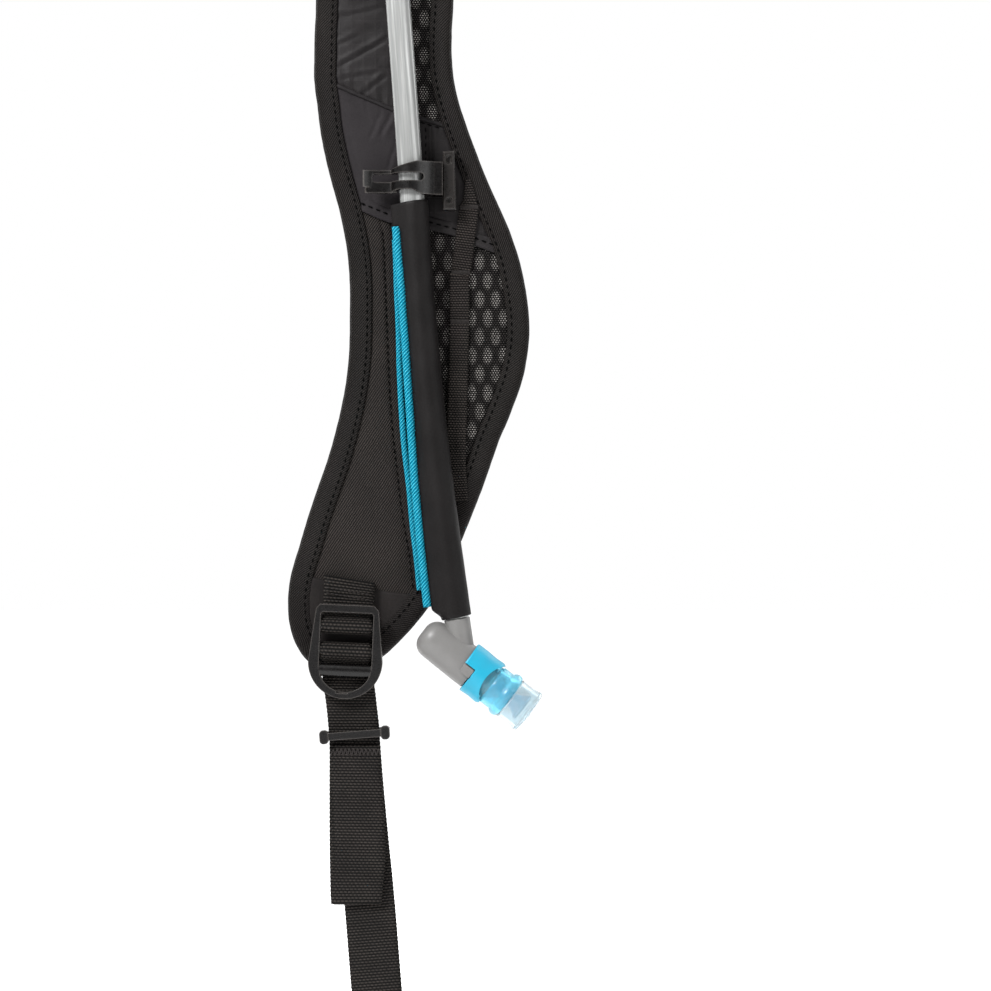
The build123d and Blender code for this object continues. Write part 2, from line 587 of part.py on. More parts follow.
# ---------------------------------------------------------------- quarter-turn collar and bite valve
with BuildPart() as lock_collar:
    with BuildSketch(VALVE_SIDE):
        with BuildLine():
            Polyline((4.45, 5.1), (8.1, 5.1), (8.1, 0.3), (8.9, 0.3), (9.25, 0.8), (9.25, 5.1), (9.0, 9.0), (9.2, 12.8), (8.7, 13.8), (7.7, 13.8), (7.7, 9.2), (4.45, 9.2), (4.45, 5.1))
        make_face()
    revolve(axis=VALVE_AXIS)
    # front and back of the far rim are scooped, which leaves two grip ears
    scoop_plane = Plane(origin=(PX, HOSE_Y, PZ), x_dir=(math.cos(VA), 0, math.sin(VA)), z_dir=(0, -1, 0))
    with BuildSketch(scoop_plane.offset(-14)):
        with Locations((0.6, -16.6)):
            Ellipse(9.0, 6.5)
    extrude(amount=28, mode=Mode.SUBTRACT)
    # the skirt that covers the elbow runs half way round, and starts beside the stop tab
    with BuildSketch(valve_plane(0.2)):
        c6, s6 = math.cos(6 * RAD), math.sin(6 * RAD)
        with BuildLine():
            Polyline((14 * s6, 14 * c6), (-14 * s6, -14 * c6), (-14 * s6 - 14 * c6, -14 * c6 + 14 * s6), (14 * s6 - 14 * c6, 14 * c6 + 14 * s6), close=True)
        make_face()
    extrude(amount=4.9, mode=Mode.SUBTRACT)
save(lock_collar, "lock_collar")

with BuildPart() as bite_barrel:
    with BuildSketch(VALVE_SIDE):
        with BuildLine():
            Polyline((4.55, 9.4), (7.5, 9.4), (7.5, 13.6), (8.05, 14.2), (8.0, 18.2))
            ThreePointArc((8.0, 18.2), (9.2, 20.0), (8.6, 22.0))
            Polyline((8.6, 22.0), (6.9, 22.6), (6.2, 21.8), (6.2, 13.2), (4.55, 13.0), (4.55, 9.4))
        make_face()
    revolve(axis=VALVE_AXIS)
save(bite_barrel, "bite_barrel")

with BuildPart() as bite_tip:
    with BuildSketch(VALVE_SIDE):
        with BuildLine():
            Line((7.0, 22.9), (8.5, 22.4))
            ThreePointArc((8.5, 22.4), (8.2, 26.0), (8.75, 30.4))
            ThreePointArc((8.75, 30.4), (8.55, 31.3), (7.7, 31.7))
            ThreePointArc((7.7, 31.7), (4.0, 32.4), (0.0, 32.6))
            Line((0.0, 32.6), (0.0, 31.2))
            ThreePointArc((0.0, 31.2), (3.8, 31.0), (7.2, 30.3))
            ThreePointArc((7.2, 30.3), (6.9, 26.4), (7.0, 22.9))
        make_face()
    revolve(axis=VALVE_AXIS)
    with BuildSketch(valve_plane(30.0)):
        Rectangle(6.0, 0.5)
    extrude(amount=6.0, mode=Mode.SUBTRACT)
save(bite_tip, "bite_tip")

with BuildPart() as valve_plug:
    with BuildSketch(VALVE_SIDE):
        with BuildLine():
            Polyline((1.4, 13.2), (6.0, 13.2), (6.0, 14.4))
            ThreePointArc((6.0, 14.4), (2.7, 21.0), (5.5, 28.0))
            Polyline((5.5, 28.0), (5.1, 28.8), (1.4, 28.8), (1.4, 13.2))
        make_face()
    revolve(axis=VALVE_AXIS)
save(valve_plug, "valve_plug")

# ---------------------------------------------------------------- ladder-lock buckle
TILT = 2.5 * RAD                            # the buckle hangs with its right end this much lower
BX, BN = -14.1, 11.0                        # upper crossbar, its middle
BZ = Z_REF - 240.9
XB = (math.cos(TILT), 0, -math.sin(TILT))
BAR2, BAR3 = -9.0, -16.95                   # crossbars below the upper one


def buckle_front(n):
    return Plane(origin=(BX, ny(n), BZ), x_dir=XB, z_dir=(0, -1, 0))


BUCKLE_SIDE = Plane(origin=(BX, ny(BN), BZ), x_dir=(0, -1, 0), z_dir=XB)   # local x forward, local y down
BAR2_POS = (BX + BAR2 * math.sin(TILT), ny(BN), BZ + BAR2 * math.cos(TILT))
print("buckle pivot", round(BX, 3), round(ny(BN), 3), round(BZ, 3), "bar 2", [round(v, 3) for v in BAR2_POS], "axis", [round(v, 5) for v in XB])

with BuildPart() as ladder_buckle:
    with BuildSketch(buckle_front(BN - 2.0)):
        with BuildLine():
            Line((-10.6, 8.3), (10.2, 8.3))
            Line((10.2, 8.3), (12.0, 6.4))
            Line((12.0, 6.4), (14.2, -13.2))
            ThreePointArc((14.2, -13.2), (0.0, -27.6), (-14.2, -13.2))
            Line((-14.2, -13.2), (-12.0, 6.6))
            Line((-12.0, 6.6), (-10.6, 8.3))
        make_face()
        with BuildLine():
            Polyline((-10.1, 4.7), (-9.4, 5.4), (9.4, 5.4), (10.1, 4.7), (10.1, -16.0))
            ThreePointArc((10.1, -16.0), (0.0, -25.0), (-10.1, -16.0))
            Line((-10.1, -16.0), (-10.1, 4.7))
        make_face(mode=Mode.SUBTRACT)
    extrude(amount=4.5)
    # thumb notch in the lower rim
    with BuildSketch(buckle_front(BN + 0.6)):
        with Locations((-0.8, -24.6)):
            Rectangle(4.6, 1.8)
    extrude(amount=4, mode=Mode.SUBTRACT)
    # rear of the rim is cleared where the webbing runs behind it
    with BuildSketch(BUCKLE_SIDE.offset(-20)):
        with BuildLine():
            Polyline((-4, -9.5), (1.05, -9.5), (1.05, -4.6), (-1.6, -4.2), (-2.01, -3.4), (-4, -3.4), close=True)
        make_face()
        with BuildLine():
            Polyline((-4, 14.0), (-2.01, 14.0), (-0.9, 18.0), (-0.6, 30.0), (-4, 30.0), close=True)
        make_face()
    extrude(amount=40, mode=Mode.SUBTRACT)
    # crossbars
    with BuildSketch(BUCKLE_SIDE.offset(-10.8)):
        Circle(1.4)
        with Locations((0, -BAR2)):
            Circle(1.4)
        with Locations((0.9, -BAR3)):
            Ellipse(1.5, 2.35)
    extrude(amount=21.6)
save(ladder_buckle, "ladder_buckle")


def band_polygon(points, t):
    """Closed polygon of thickness t about a polyline in the side section."""
    left, right = [], []
    for i, p in enumerate(points):
        a = points[max(i - 1, 0)]
        b = points[min(i + 1, len(points) - 1)]
        if 0 < i < len(points) - 1:
            u1 = (p[0] - a[0], p[1] - a[1])
            u2 = (b[0] - p[0], b[1] - p[1])
            l1, l2 = math.hypot(*u1), math.hypot(*u2)
            n1, n2 = (-u1[1] / l1, u1[0] / l1), (-u2[1] / l2, u2[0] / l2)
            k = 1 + n1[0] * n2[0] + n1[1] * n2[1]
            nx, nyy = (n1[0] + n2[0]) / k, (n1[1] + n2[1]) / k
        else:
            u = (b[0] - a[0], b[1] - a[1])
            l = math.hypot(*u)
            nx, nyy = -u[1] / l, u[0] / l
        left.append((p[0] + nx * t / 2, p[1] + nyy * t / 2))
        right.append((p[0] - nx * t / 2, p[1] - nyy * t / 2))
    return left + right[::-1]


# webbing loop that holds the upper crossbar, sewn flat on the strap's tip
with BuildPart() as tab_webbing:
    with BuildSketch(BUCKLE_SIDE.offset(-WEB_W / 2)):
        Circle(2.95)
        with BuildLine():
            Polyline(*band_polygon([(1.37, -1.72), (-4.0, -6.2), (-4.0, -19.2)], WEB_T), close=True)
        make_face()
        with BuildLine():
            Polyline(*band_polygon([(-1.2, 1.85), (-3.2, 0.6), (-5.5, -5.2), (-5.5, -19.2)], WEB_T), close=True)
        make_face()
        Circle(1.45, mode=Mode.SUBTRACT)
    extrude(amount=WEB_W)
    # the loop's top edge is cut on a slant, square to the strap's tip
    with BuildSketch(Plane.XZ.offset(-ny(BN + 6))):
        with BuildLine():
            Polyline((-40, Z_REF - 218.8), (-23.6, Z_REF - 221.6), (-3.6, Z_REF - 224.9), (20, Z_REF - 228.9), (20, Z_REF - 200), (-40, Z_REF - 200), close=True)
        make_face()
    extrude(amount=-30, mode=Mode.SUBTRACT)
save(tab_webbing, "tab_webbing")

# adjusting webbing: up behind the lower bar, round the middle bar, and down again as the tail
ANCHOR_N, TAIL_N, FLAP_N = 6.95, 8.65, 10.35     # middles of the three layers
with BuildPart() as adjust_webbing:
    with BuildSketch(BUCKLE_SIDE.offset(-WEB_W / 2)):
        with Locations((0, -BAR2)):
            Circle(2.95)
        with BuildLine():
            Polyline(*band_polygon([(-2.2, 9.0), (-2.45, 11.4), (ANCHOR_N - BN, 16.0), (ANCHOR_N - BN, 28.5)], WEB_T), close=True)
        make_face()
        with BuildLine():
            Polyline(*band_polygon([(1.35, 10.75), (-0.4, 12.4), (TAIL_N - BN, 15.6), (TAIL_N - BN, 28.5)], WEB_T), close=True)
        make_face()
        with Locations((0, -BAR2)):
            Circle(1.45, mode=Mode.SUBTRACT)
    extrude(amount=WEB_W)
    # anchor layer, drifting right on its way to the pack's lower corner
    with BuildSketch(Plane.XZ.offset(-ny(ANCHOR_N + WEB_T / 2))):
        with BuildLine():
            Polyline(*[(x, Z_REF - d) for x, d in (
                (-22.6, 265.0), (-21.6, 281.0), (-20.3, 300.0), (-18.0, 323.0), (-14.8, 354.2), (-10.9, 400.0), (-9.0, 425.0),
                (10.4, 425.0), (8.4, 400.0), (4.7, 354.2), (1.4, 315.7), (-0.9, 292.6), (-2.5, 269.5), (-3.0, 265.0))], close=True)
        make_face()
    extrude(amount=-WEB_T)
    # tail, hanging straight
    with BuildSketch(Plane.XZ.offset(-ny(TAIL_N + WEB_T / 2))):
        with BuildLine():
            Polyline(*[(x, Z_REF - d) for x, d in ((-22.6, 265.0), (-21.0, 284.0), (-21.0, 344.6), (-1.6, 344.6), (-1.6, 284.0), (-3.0, 265.0))], close=True)
        make_face()
    extrude(amount=-WEB_T)
    # folded-up end of the tail
    with BuildSketch(Plane.XZ.offset(-ny(FLAP_N + WEB_T / 2))):
        with BuildLine():
            Polyline(*[(x, Z_REF - d) for x, d in ((-21.1, 286.6), (-20.8, 292.2), (-19.4, 312.2), (-18.8, 330.3), (-20.2, 344.6), (-0.6, 344.6), (0.9, 333.8), (0.6, 319.6), (-0.6, 292.2), (-0.9, 286.6))], close=True)
        make_face()
    extrude(amount=-WEB_T)
    with BuildSketch(Plane.YZ.offset(-20.6)):
        with BuildLine():
            l0, l1 = ny(TAIL_N - WEB_T / 2), ny(FLAP_N + WEB_T / 2)
            Line((l0, Z_REF - 344.6), (l0, Z_REF - 344.8))
            ThreePointArc((l0, Z_REF - 344.8), ((l0 + l1) / 2, Z_REF - 347.6), (l1, Z_REF - 344.8))
            Polyline((l1, Z_REF - 344.8), (l1, Z_REF - 344.6), (l0, Z_REF - 344.6))
        make_face()
    extrude(amount=19.4)
save(adjust_webbing, "adjust_webbing")

# zigzag tack that closes the folded end
with BuildPart() as tail_tack:
    with BuildSketch(Plane.XZ.offset(-ny(FLAP_N + WEB_T / 2))):
        with BuildLine():
            Polyline((-20.7, Z_REF - 286.8), (-1.4, Z_REF - 286.8), (-1.2, Z_REF - 291.0), (-20.5, Z_REF - 291.0), close=True)
        make_face()
    extrude(amount=0.35)
save(tail_tack, "tail_tack")

# folded wedge that the lower end is sewn into
with BuildPart() as anchor_tab:
    with BuildSketch(Plane.XZ.offset(-ny(ANCHOR_N + 2.4))):
        with BuildLine():
            Polyline(*[(x, Z_REF - d) for x, d in ((-12.0, 414.0), (13.0, 411.6), (27.0, 447.0), (-21.0, 452.0))], close=True)
        make_face()
    extrude(amount=-4.8)
    with BuildSketch(Plane.XZ.offset(-ny(ANCHOR_N + WEB_T / 2))):
        with BuildLine():
            Polyline(*[(x, Z_REF - d) for x, d in ((-10.9, 400.0), (-9.0, 425.0), (10.4, 425.0), (8.4, 400.0))], close=True)
        make_face()
    extrude(amount=-WEB_T, mode=Mode.SUBTRACT)
save(anchor_tab, "anchor_tab")

# ---------------------------------------------------------------- webbing keeper
KX, KZ = -11.1, Z_REF - 282.2
K_LEAN = 4.5 * RAD
K0, K1 = 5.75, 11.55                        # inside of the keeper, rear and front
KEEP_SIDE = Plane(origin=(KX, ny((K0 + K1) / 2), KZ), x_dir=(math.cos(K_LEAN), 0, math.sin(K_LEAN)), z_dir=(-math.sin(K_LEAN), 0, math.cos(K_LEAN)))
with BuildPart() as keeper:
    with BuildSketch(KEEP_SIDE.offset(-1.45)):
        RectangleRounded(26.6, (K1 - K0) + 4.2, 2.6)
        RectangleRounded(21.4, (K1 - K0), 0.8, mode=Mode.SUBTRACT)
    extrude(amount=2.9)
    # rounded knobs at the two ends of the front bar
    for u in (-11.75, 11.75):
        spot = KEEP_SIDE.location * Location((u, -5.6, 0))
        with BuildSketch(Plane(origin=spot.position, x_dir=(math.cos(K_LEAN), 0, math.sin(K_LEAN)), z_dir=(0, 1, 0))):
            RectangleRounded(3.4, 5.2, 1.4)
        extrude(amount=2.55)
save(keeper, "keeper")

# ---------------------------------------------------------------- quick-release coupling on the hose's far end
CX, CY, CZ = ROUTE[-1]
TAIL_DIR = Vector(*ROUTE[-1]) - Vector(*ROUTE[-2])
COUPLE_AXIS = Axis((CX, CY, CZ), (0, 0, 1))
with BuildPart() as coupling_body:
    with BuildSketch(Plane(origin=(CX, CY, CZ), x_dir=(1, 0, 0), z_dir=(0, -1, 0))):
        with BuildLine():
            Polyline((1.9, 9.0), (3.15, 9.0), (3.15, -0.15), (4.9, -0.15), (6.6, -2.6), (6.6, -8.0), (8.0, -9.6), (8.0, -30.6))
            Polyline((8.0, -30.6), (7.2, -31.4), (4.6, -31.4), (4.2, -31.0), (4.2, -20.4), (1.9, -20.4), (1.9, 9.0))
        make_face()
    revolve(axis=COUPLE_AXIS)
    with BuildSketch(Plane.XY.offset(CZ - 19.9)):
        with Locations((CX, CY + 8.2)):
            Rectangle(7.4, 7.0)
    extrude(amount=8.4, mode=Mode.SUBTRACT)
save(coupling_body, "coupling_body")

with BuildPart() as coupling_button:
    with BuildSketch(Plane.XY.offset(CZ - 19.6)):
        with Locations((CX, CY + 8.6)):
            Rectangle(6.8, 3.2)
    extrude(amount=7.8)
    chamfer(coupling_button.faces().sort_by(Axis.Y)[-1].edges(), 0.6)
    # pocket that closes over the spring as the button is pressed
    with BuildSketch(Plane.XZ.offset(-(CY + 6.9))):
        with Locations((CX, CZ - 15.7)):
            Circle(2.1)
    extrude(amount=-2.1, mode=Mode.SUBTRACT)
save(coupling_button, "coupling_button")

with BuildPart() as button_spring:
    with BuildSketch(Plane.XZ.offset(-(CY + 4.75))):
        with Locations((CX, CZ - 15.7)):
            Circle(1.8)
            Circle(1.2, mode=Mode.SUBTRACT)
    extrude(amount=-2.7)
save(button_spring, "button_spring")

print("coupling", round(CX, 3), round(CY, 3), round(CZ, 3))
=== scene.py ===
import bpy
import json
import math
import numpy as np
from mathutils import Vector, Matrix, noise

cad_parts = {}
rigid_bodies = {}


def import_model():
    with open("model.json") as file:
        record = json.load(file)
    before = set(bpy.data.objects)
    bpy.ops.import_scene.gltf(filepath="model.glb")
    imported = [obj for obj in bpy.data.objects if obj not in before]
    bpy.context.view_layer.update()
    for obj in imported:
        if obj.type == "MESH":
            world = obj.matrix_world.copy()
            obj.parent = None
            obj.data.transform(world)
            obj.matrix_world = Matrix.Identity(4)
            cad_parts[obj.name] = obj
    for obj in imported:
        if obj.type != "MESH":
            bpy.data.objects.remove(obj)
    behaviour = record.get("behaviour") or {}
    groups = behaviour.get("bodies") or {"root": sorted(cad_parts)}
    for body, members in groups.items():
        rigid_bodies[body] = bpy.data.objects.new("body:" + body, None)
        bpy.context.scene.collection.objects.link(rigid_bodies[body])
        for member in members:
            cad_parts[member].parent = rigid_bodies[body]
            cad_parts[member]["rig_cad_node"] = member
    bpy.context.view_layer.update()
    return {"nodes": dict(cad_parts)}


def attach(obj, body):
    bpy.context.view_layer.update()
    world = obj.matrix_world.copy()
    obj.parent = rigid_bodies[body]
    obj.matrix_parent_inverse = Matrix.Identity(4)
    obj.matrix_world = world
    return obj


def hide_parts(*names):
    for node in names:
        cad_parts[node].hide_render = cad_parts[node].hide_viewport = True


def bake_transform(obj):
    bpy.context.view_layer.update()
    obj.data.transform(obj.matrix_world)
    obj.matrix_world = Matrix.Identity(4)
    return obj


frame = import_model()
NODES = frame["nodes"]
S = 0.001                       # scene units per millimetre
RAD = math.pi / 180.0

# ------------------------------------------------------------------ shared dimensions, mm
R_SH = 75.0
A_SH = 75.0
YC = R_SH * math.cos(A_SH * RAD)
ZC = -R_SH * math.sin(A_SH * RAD)
YF = YC - R_SH
REF_DROP = 60.0
ZR = ZC - REF_DROP
HOSE_N = 11.4
HOSE_Y = YF - HOSE_N
D_YOKE = -(REF_DROP + R_SH * A_SH * RAD)          # the yoke seam, measured as the outline is


def P(x, d, n):
    """Point of the strap: x across, d down from the reference line, n out of the mid surface. Metres."""
    if d >= -REF_DROP:
        return (x * S, (YF - n) * S, (ZR - d) * S)
    a = (-REF_DROP - d) / R_SH
    if a > A_SH * RAD:
        e = (a - A_SH * RAD) * R_SH
        a = A_SH * RAD
        return (x * S, (YC - (R_SH + n) * math.cos(a) + e * math.sin(a)) * S, (ZC + (R_SH + n) * math.sin(a) + e * math.cos(a)) * S)
    return (x * S, (YC - (R_SH + n) * math.cos(a)) * S, (ZC + (R_SH + n) * math.sin(a)) * S)


OUTLINE = [
    (-26.8, -30.0), (-26.6, 0.0), (-27.0, 10.0), (-27.1, 20.0), (-27.2, 30.0), (-26.1, 40.0),
    (-24.9, 50.1), (-22.9, 60.1), (-20.5, 70.1), (-17.7, 80.1), (-15.6, 90.1), (-14.1, 100.1),
    (-13.45, 110.1), (-13.4, 120.1), (-13.5, 130.1), (-14.1, 140.1), (-15.5, 150.2), (-17.5, 160.2),
    (-20.0, 170.2), (-23.1, 180.2), (-26.6, 190.2), (-29.9, 200.2), (-32.9, 210.2), (-35.9, 220.2),
    (-37.3, 230.2), (-36.9, 239.5), (-34.6, 247.6), (-30.6, 253.8), (-25.2, 257.6), (-18.8, 259.2),
    (-12.2, 258.6), (-6.2, 256.4), (0.2, 252.2), (6.4, 246.2), (12.6, 239.4), (18.0, 232.2),
    (22.4, 224.6), (26.1, 216.6), (29.6, 207.9), (32.9, 199.8), (36.0, 191.8), (38.8, 184.4),
    (41.5, 176.6), (44.2, 169.0), (47.3, 161.8), (50.3, 154.0), (52.7, 147.0), (54.4, 139.6),
    (55.6, 130.1), (55.4, 120.1), (54.0, 110.1), (52.0, 100.1), (48.7, 90.1), (44.3, 80.1),
    (39.9, 70.1), (35.9, 60.1), (32.1, 50.1), (28.8, 40.0), (26.5, 30.0), (25.6, 20.0),
    (25.8, 10.0), (26.4, 0.0), (26.8, -30.0),
]


def dense(points, step=1.0, tension=0.5):
    """Smooth curve through the points (Catmull-Rom), then even spacing."""
    p = np.array(points, float)
    p = np.vstack([2 * p[0] - p[1], p, 2 * p[-1] - p[-2]])
    out = []
    for i in range(1, len(p) - 2):
        a, b, c, e = p[i - 1], p[i], p[i + 1], p[i + 2]
        for t in np.linspace(0, 1, 12, endpoint=False):
            out.append(0.5 * (2 * b + (c - a) * t + (2 * a - 5 * b + 4 * c - e) * t * t + (3 * b - a - 3 * c + e) * t ** 3))
    out.append(p[-2])
    return even(out, step)


def even(points, step=None, count=None):
    p = np.array(points, float)
    s = np.concatenate([[0], np.cumsum(np.linalg.norm(np.diff(p, axis=0), axis=1))])
    n = count if count else max(2, int(round(s[-1] / step)) + 1)
    t = np.linspace(0, s[-1], n)
    return np.stack([np.interp(t, s, p[:, k]) for k in range(p.shape[1])], axis=1)


_core = dense(OUTLINE, 1.0)
_rise = np.arange(D_YOKE, -30.5, 1.0)
EDGE = np.vstack([
    np.stack([np.full_like(_rise, -26.8), _rise], 1), _core, np.stack([np.full_like(_rise, 26.8), _rise[::-1]], 1)])
_t = np.gradient(EDGE, axis=0)
for _ in range(6):
    _t[1:-1] = 0.25 * _t[:-2] + 0.5 * _t[1:-1] + 0.25 * _t[2:]
_t /= np.linalg.norm(_t, axis=1)[:, None]
EDGE_IN = np.stack([_t[:, 1], -_t[:, 0]], 1)      # inward, across the tape


def inset(i):
    return EDGE + EDGE_IN * i


def sides(i):
    """(left, right) halves of the inset outline, both running down."""
    q = inset(i)
    low = int(np.argmax(q[:, 1]))
    return q[: low + 1], q[low:][::-1]


def x_at(side, d):
    return float(np.interp(d, side[:, 1], side[:, 0]))


def cut(side, d0, d1):
    """Part of a side between two heights, ends included."""
    inner = side[(side[:, 1] > d0) & (side[:, 1] < d1)]
    return np.vstack([[x_at(side, d0), d0], inner, [x_at(side, d1), d1]])


# ------------------------------------------------------------------ mesh helpers
def mesh(name, verts, faces, mat=None, uvw=None, smooth=True):
    me = bpy.data.meshes.new(name)
    me.from_pydata([tuple(v) for v in verts], [], [tuple(f) for f in faces])
    me.validate()
    me.update()
    if smooth:
        me.polygons.foreach_set("use_smooth", [True] * len(me.polygons))
    if uvw is not None:
        a = me.attributes.new("uvw", "FLOAT_VECTOR", "POINT")
        a.data.foreach_set("vector", np.array(uvw, np.float32).reshape(-1))
    o = bpy.data.objects.new(name, me)
    bpy.context.scene.collection.objects.link(o)
    if mat is not None:
        me.materials.append(mat)
    return o


def fix_normals(o):
    import bmesh
    bm = bmesh.new()
    bm.from_mesh(o.data)
    bmesh.ops.recalc_face_normals(bm, faces=bm.faces)
    bm.to_mesh(o.data)
    bm.free()
    return o


def join_lists(parts):
    """Merges several (verts, faces, uvw) lists into one."""
    V, F, U = [], [], []
    for v, f, u in parts:
        k = len(V)
        V += list(v)
        F += [tuple(i + k for i in q) for q in f]
        U += list(u)
    return V, F, U


def tube_rings(rings, closed=False, cap=True):
    """Faces for rings of equal size; returns (verts, faces)."""
    m = len(rings[0])
    V = [p for r in rings for p in r]
    F = []
    n = len(rings)
    for i in range(n if closed else n - 1):
        j = (i + 1) % n
        for k in range(m):
            l = (k + 1) % m
            F.append((i * m + k, i * m + l, j * m + l, j * m + k))
    if cap and not closed:
        F.append(tuple(range(m - 1, -1, -1)))
        F.append(tuple((n - 1) * m + k for k in range(m)))
    return V, F


def shell(name, front, back, uv, mat):
    """Closed sheet from two grids of points [rows][cols]."""
    rows, cols = len(front), len(front[0])
    V = [p for r in front for p in r] + [p for r in back for p in r]
    U = [p for r in uv for p in r] * 2
    F = []
    o = rows * cols
    for i in range(rows - 1):
        for j in range(cols - 1):
            a = i * cols + j
            F.append((a, a + cols, a + cols + 1, a + 1))
            F.append((o + a, o + a + 1, o + a + cols + 1, o + a + cols))
    for j in range(cols - 1):
        F.append((j, j + 1, o + j + 1, o + j))
        b = (rows - 1) * cols + j
        F.append((b + 1, b, o + b, o + b + 1))
    for i in range(rows - 1):
        a = i * cols
        F.append((a + cols, a, o + a, o + a + cols))
        b = a + cols - 1
        F.append((b, b + cols, o + b + cols, o + b))
    ob = mesh(name, V, F, mat, U)
    return fix_normals(ob)


def coons(top, bottom, left, right, nu, nv):
    """Grid [nv][nu] of (x, d) from four boundary lines: top and bottom run left to right, left and right run down."""
    T, B = even(top, count=nu), even(bottom, count=nu)
    L, R = even(left, count=nv), even(right, count=nv)
    u = np.linspace(0, 1, nu)[None, :, None]
    v = np.linspace(0, 1, nv)[:, None, None]
    g = (1 - v) * T[None] + v * B[None] + (1 - u) * L[:, None] + u * R[:, None]
    g -= (1 - u) * (1 - v) * T[0] + u * (1 - v) * T[-1] + (1 - u) * v * B[0] + u * v * B[-1]
    return g


def edge_room(g):
    """Distance from each grid point to each of the grid's four sides, returned apart."""
    d = lambda a, b: np.linalg.norm(a - b, axis=-1)
    left = d(g, g[:, :1])
    right = d(g, g[:, -1:])
    top = d(g, g[:1, :])
    bot = d(g, g[-1:, :])
    return left, right, top, bot


def n3(x, y, z=0.0):
    return noise.noise(Vector((x, y, z)))


def panel(name, node, mat, top, bottom, left, right, height, pitch=1.0, back=3.35, base=4.0):
    wid = max(np.linalg.norm(np.array(top[0]) - np.array(top[-1])), np.linalg.norm(np.array(bottom[0]) - np.array(bottom[-1])))
    hei = max(np.sum(np.linalg.norm(np.diff(np.array(left), axis=0), axis=1)), np.sum(np.linalg.norm(np.diff(np.array(right), axis=0), axis=1)))
    nu, nv = max(4, int(wid / pitch) + 2), max(4, int(hei / pitch) + 2)
    g = coons(top, bottom, left, right, nu, nv)
    room = edge_room(g)
    front, rear, uv = [], [], []
    for i in range(nv):
        fr, rr, ur = [], [], []
        for j in range(nu):
            x, d = g[i, j]
            n = base + height(x, d, room[0][i, j], room[1][i, j], room[2][i, j], room[3][i, j])
            fr.append(P(x, d, n))
            rr.append(P(x, d, back))
            ur.append((x, -d, n))
        front.append(fr)
        rear.append(rr)
        uv.append(ur)
    o = shell(name, front, rear, uv, mat)
    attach(o, "strap")
    if node:
        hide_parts(*([node] if isinstance(node, str) else node))
    return o


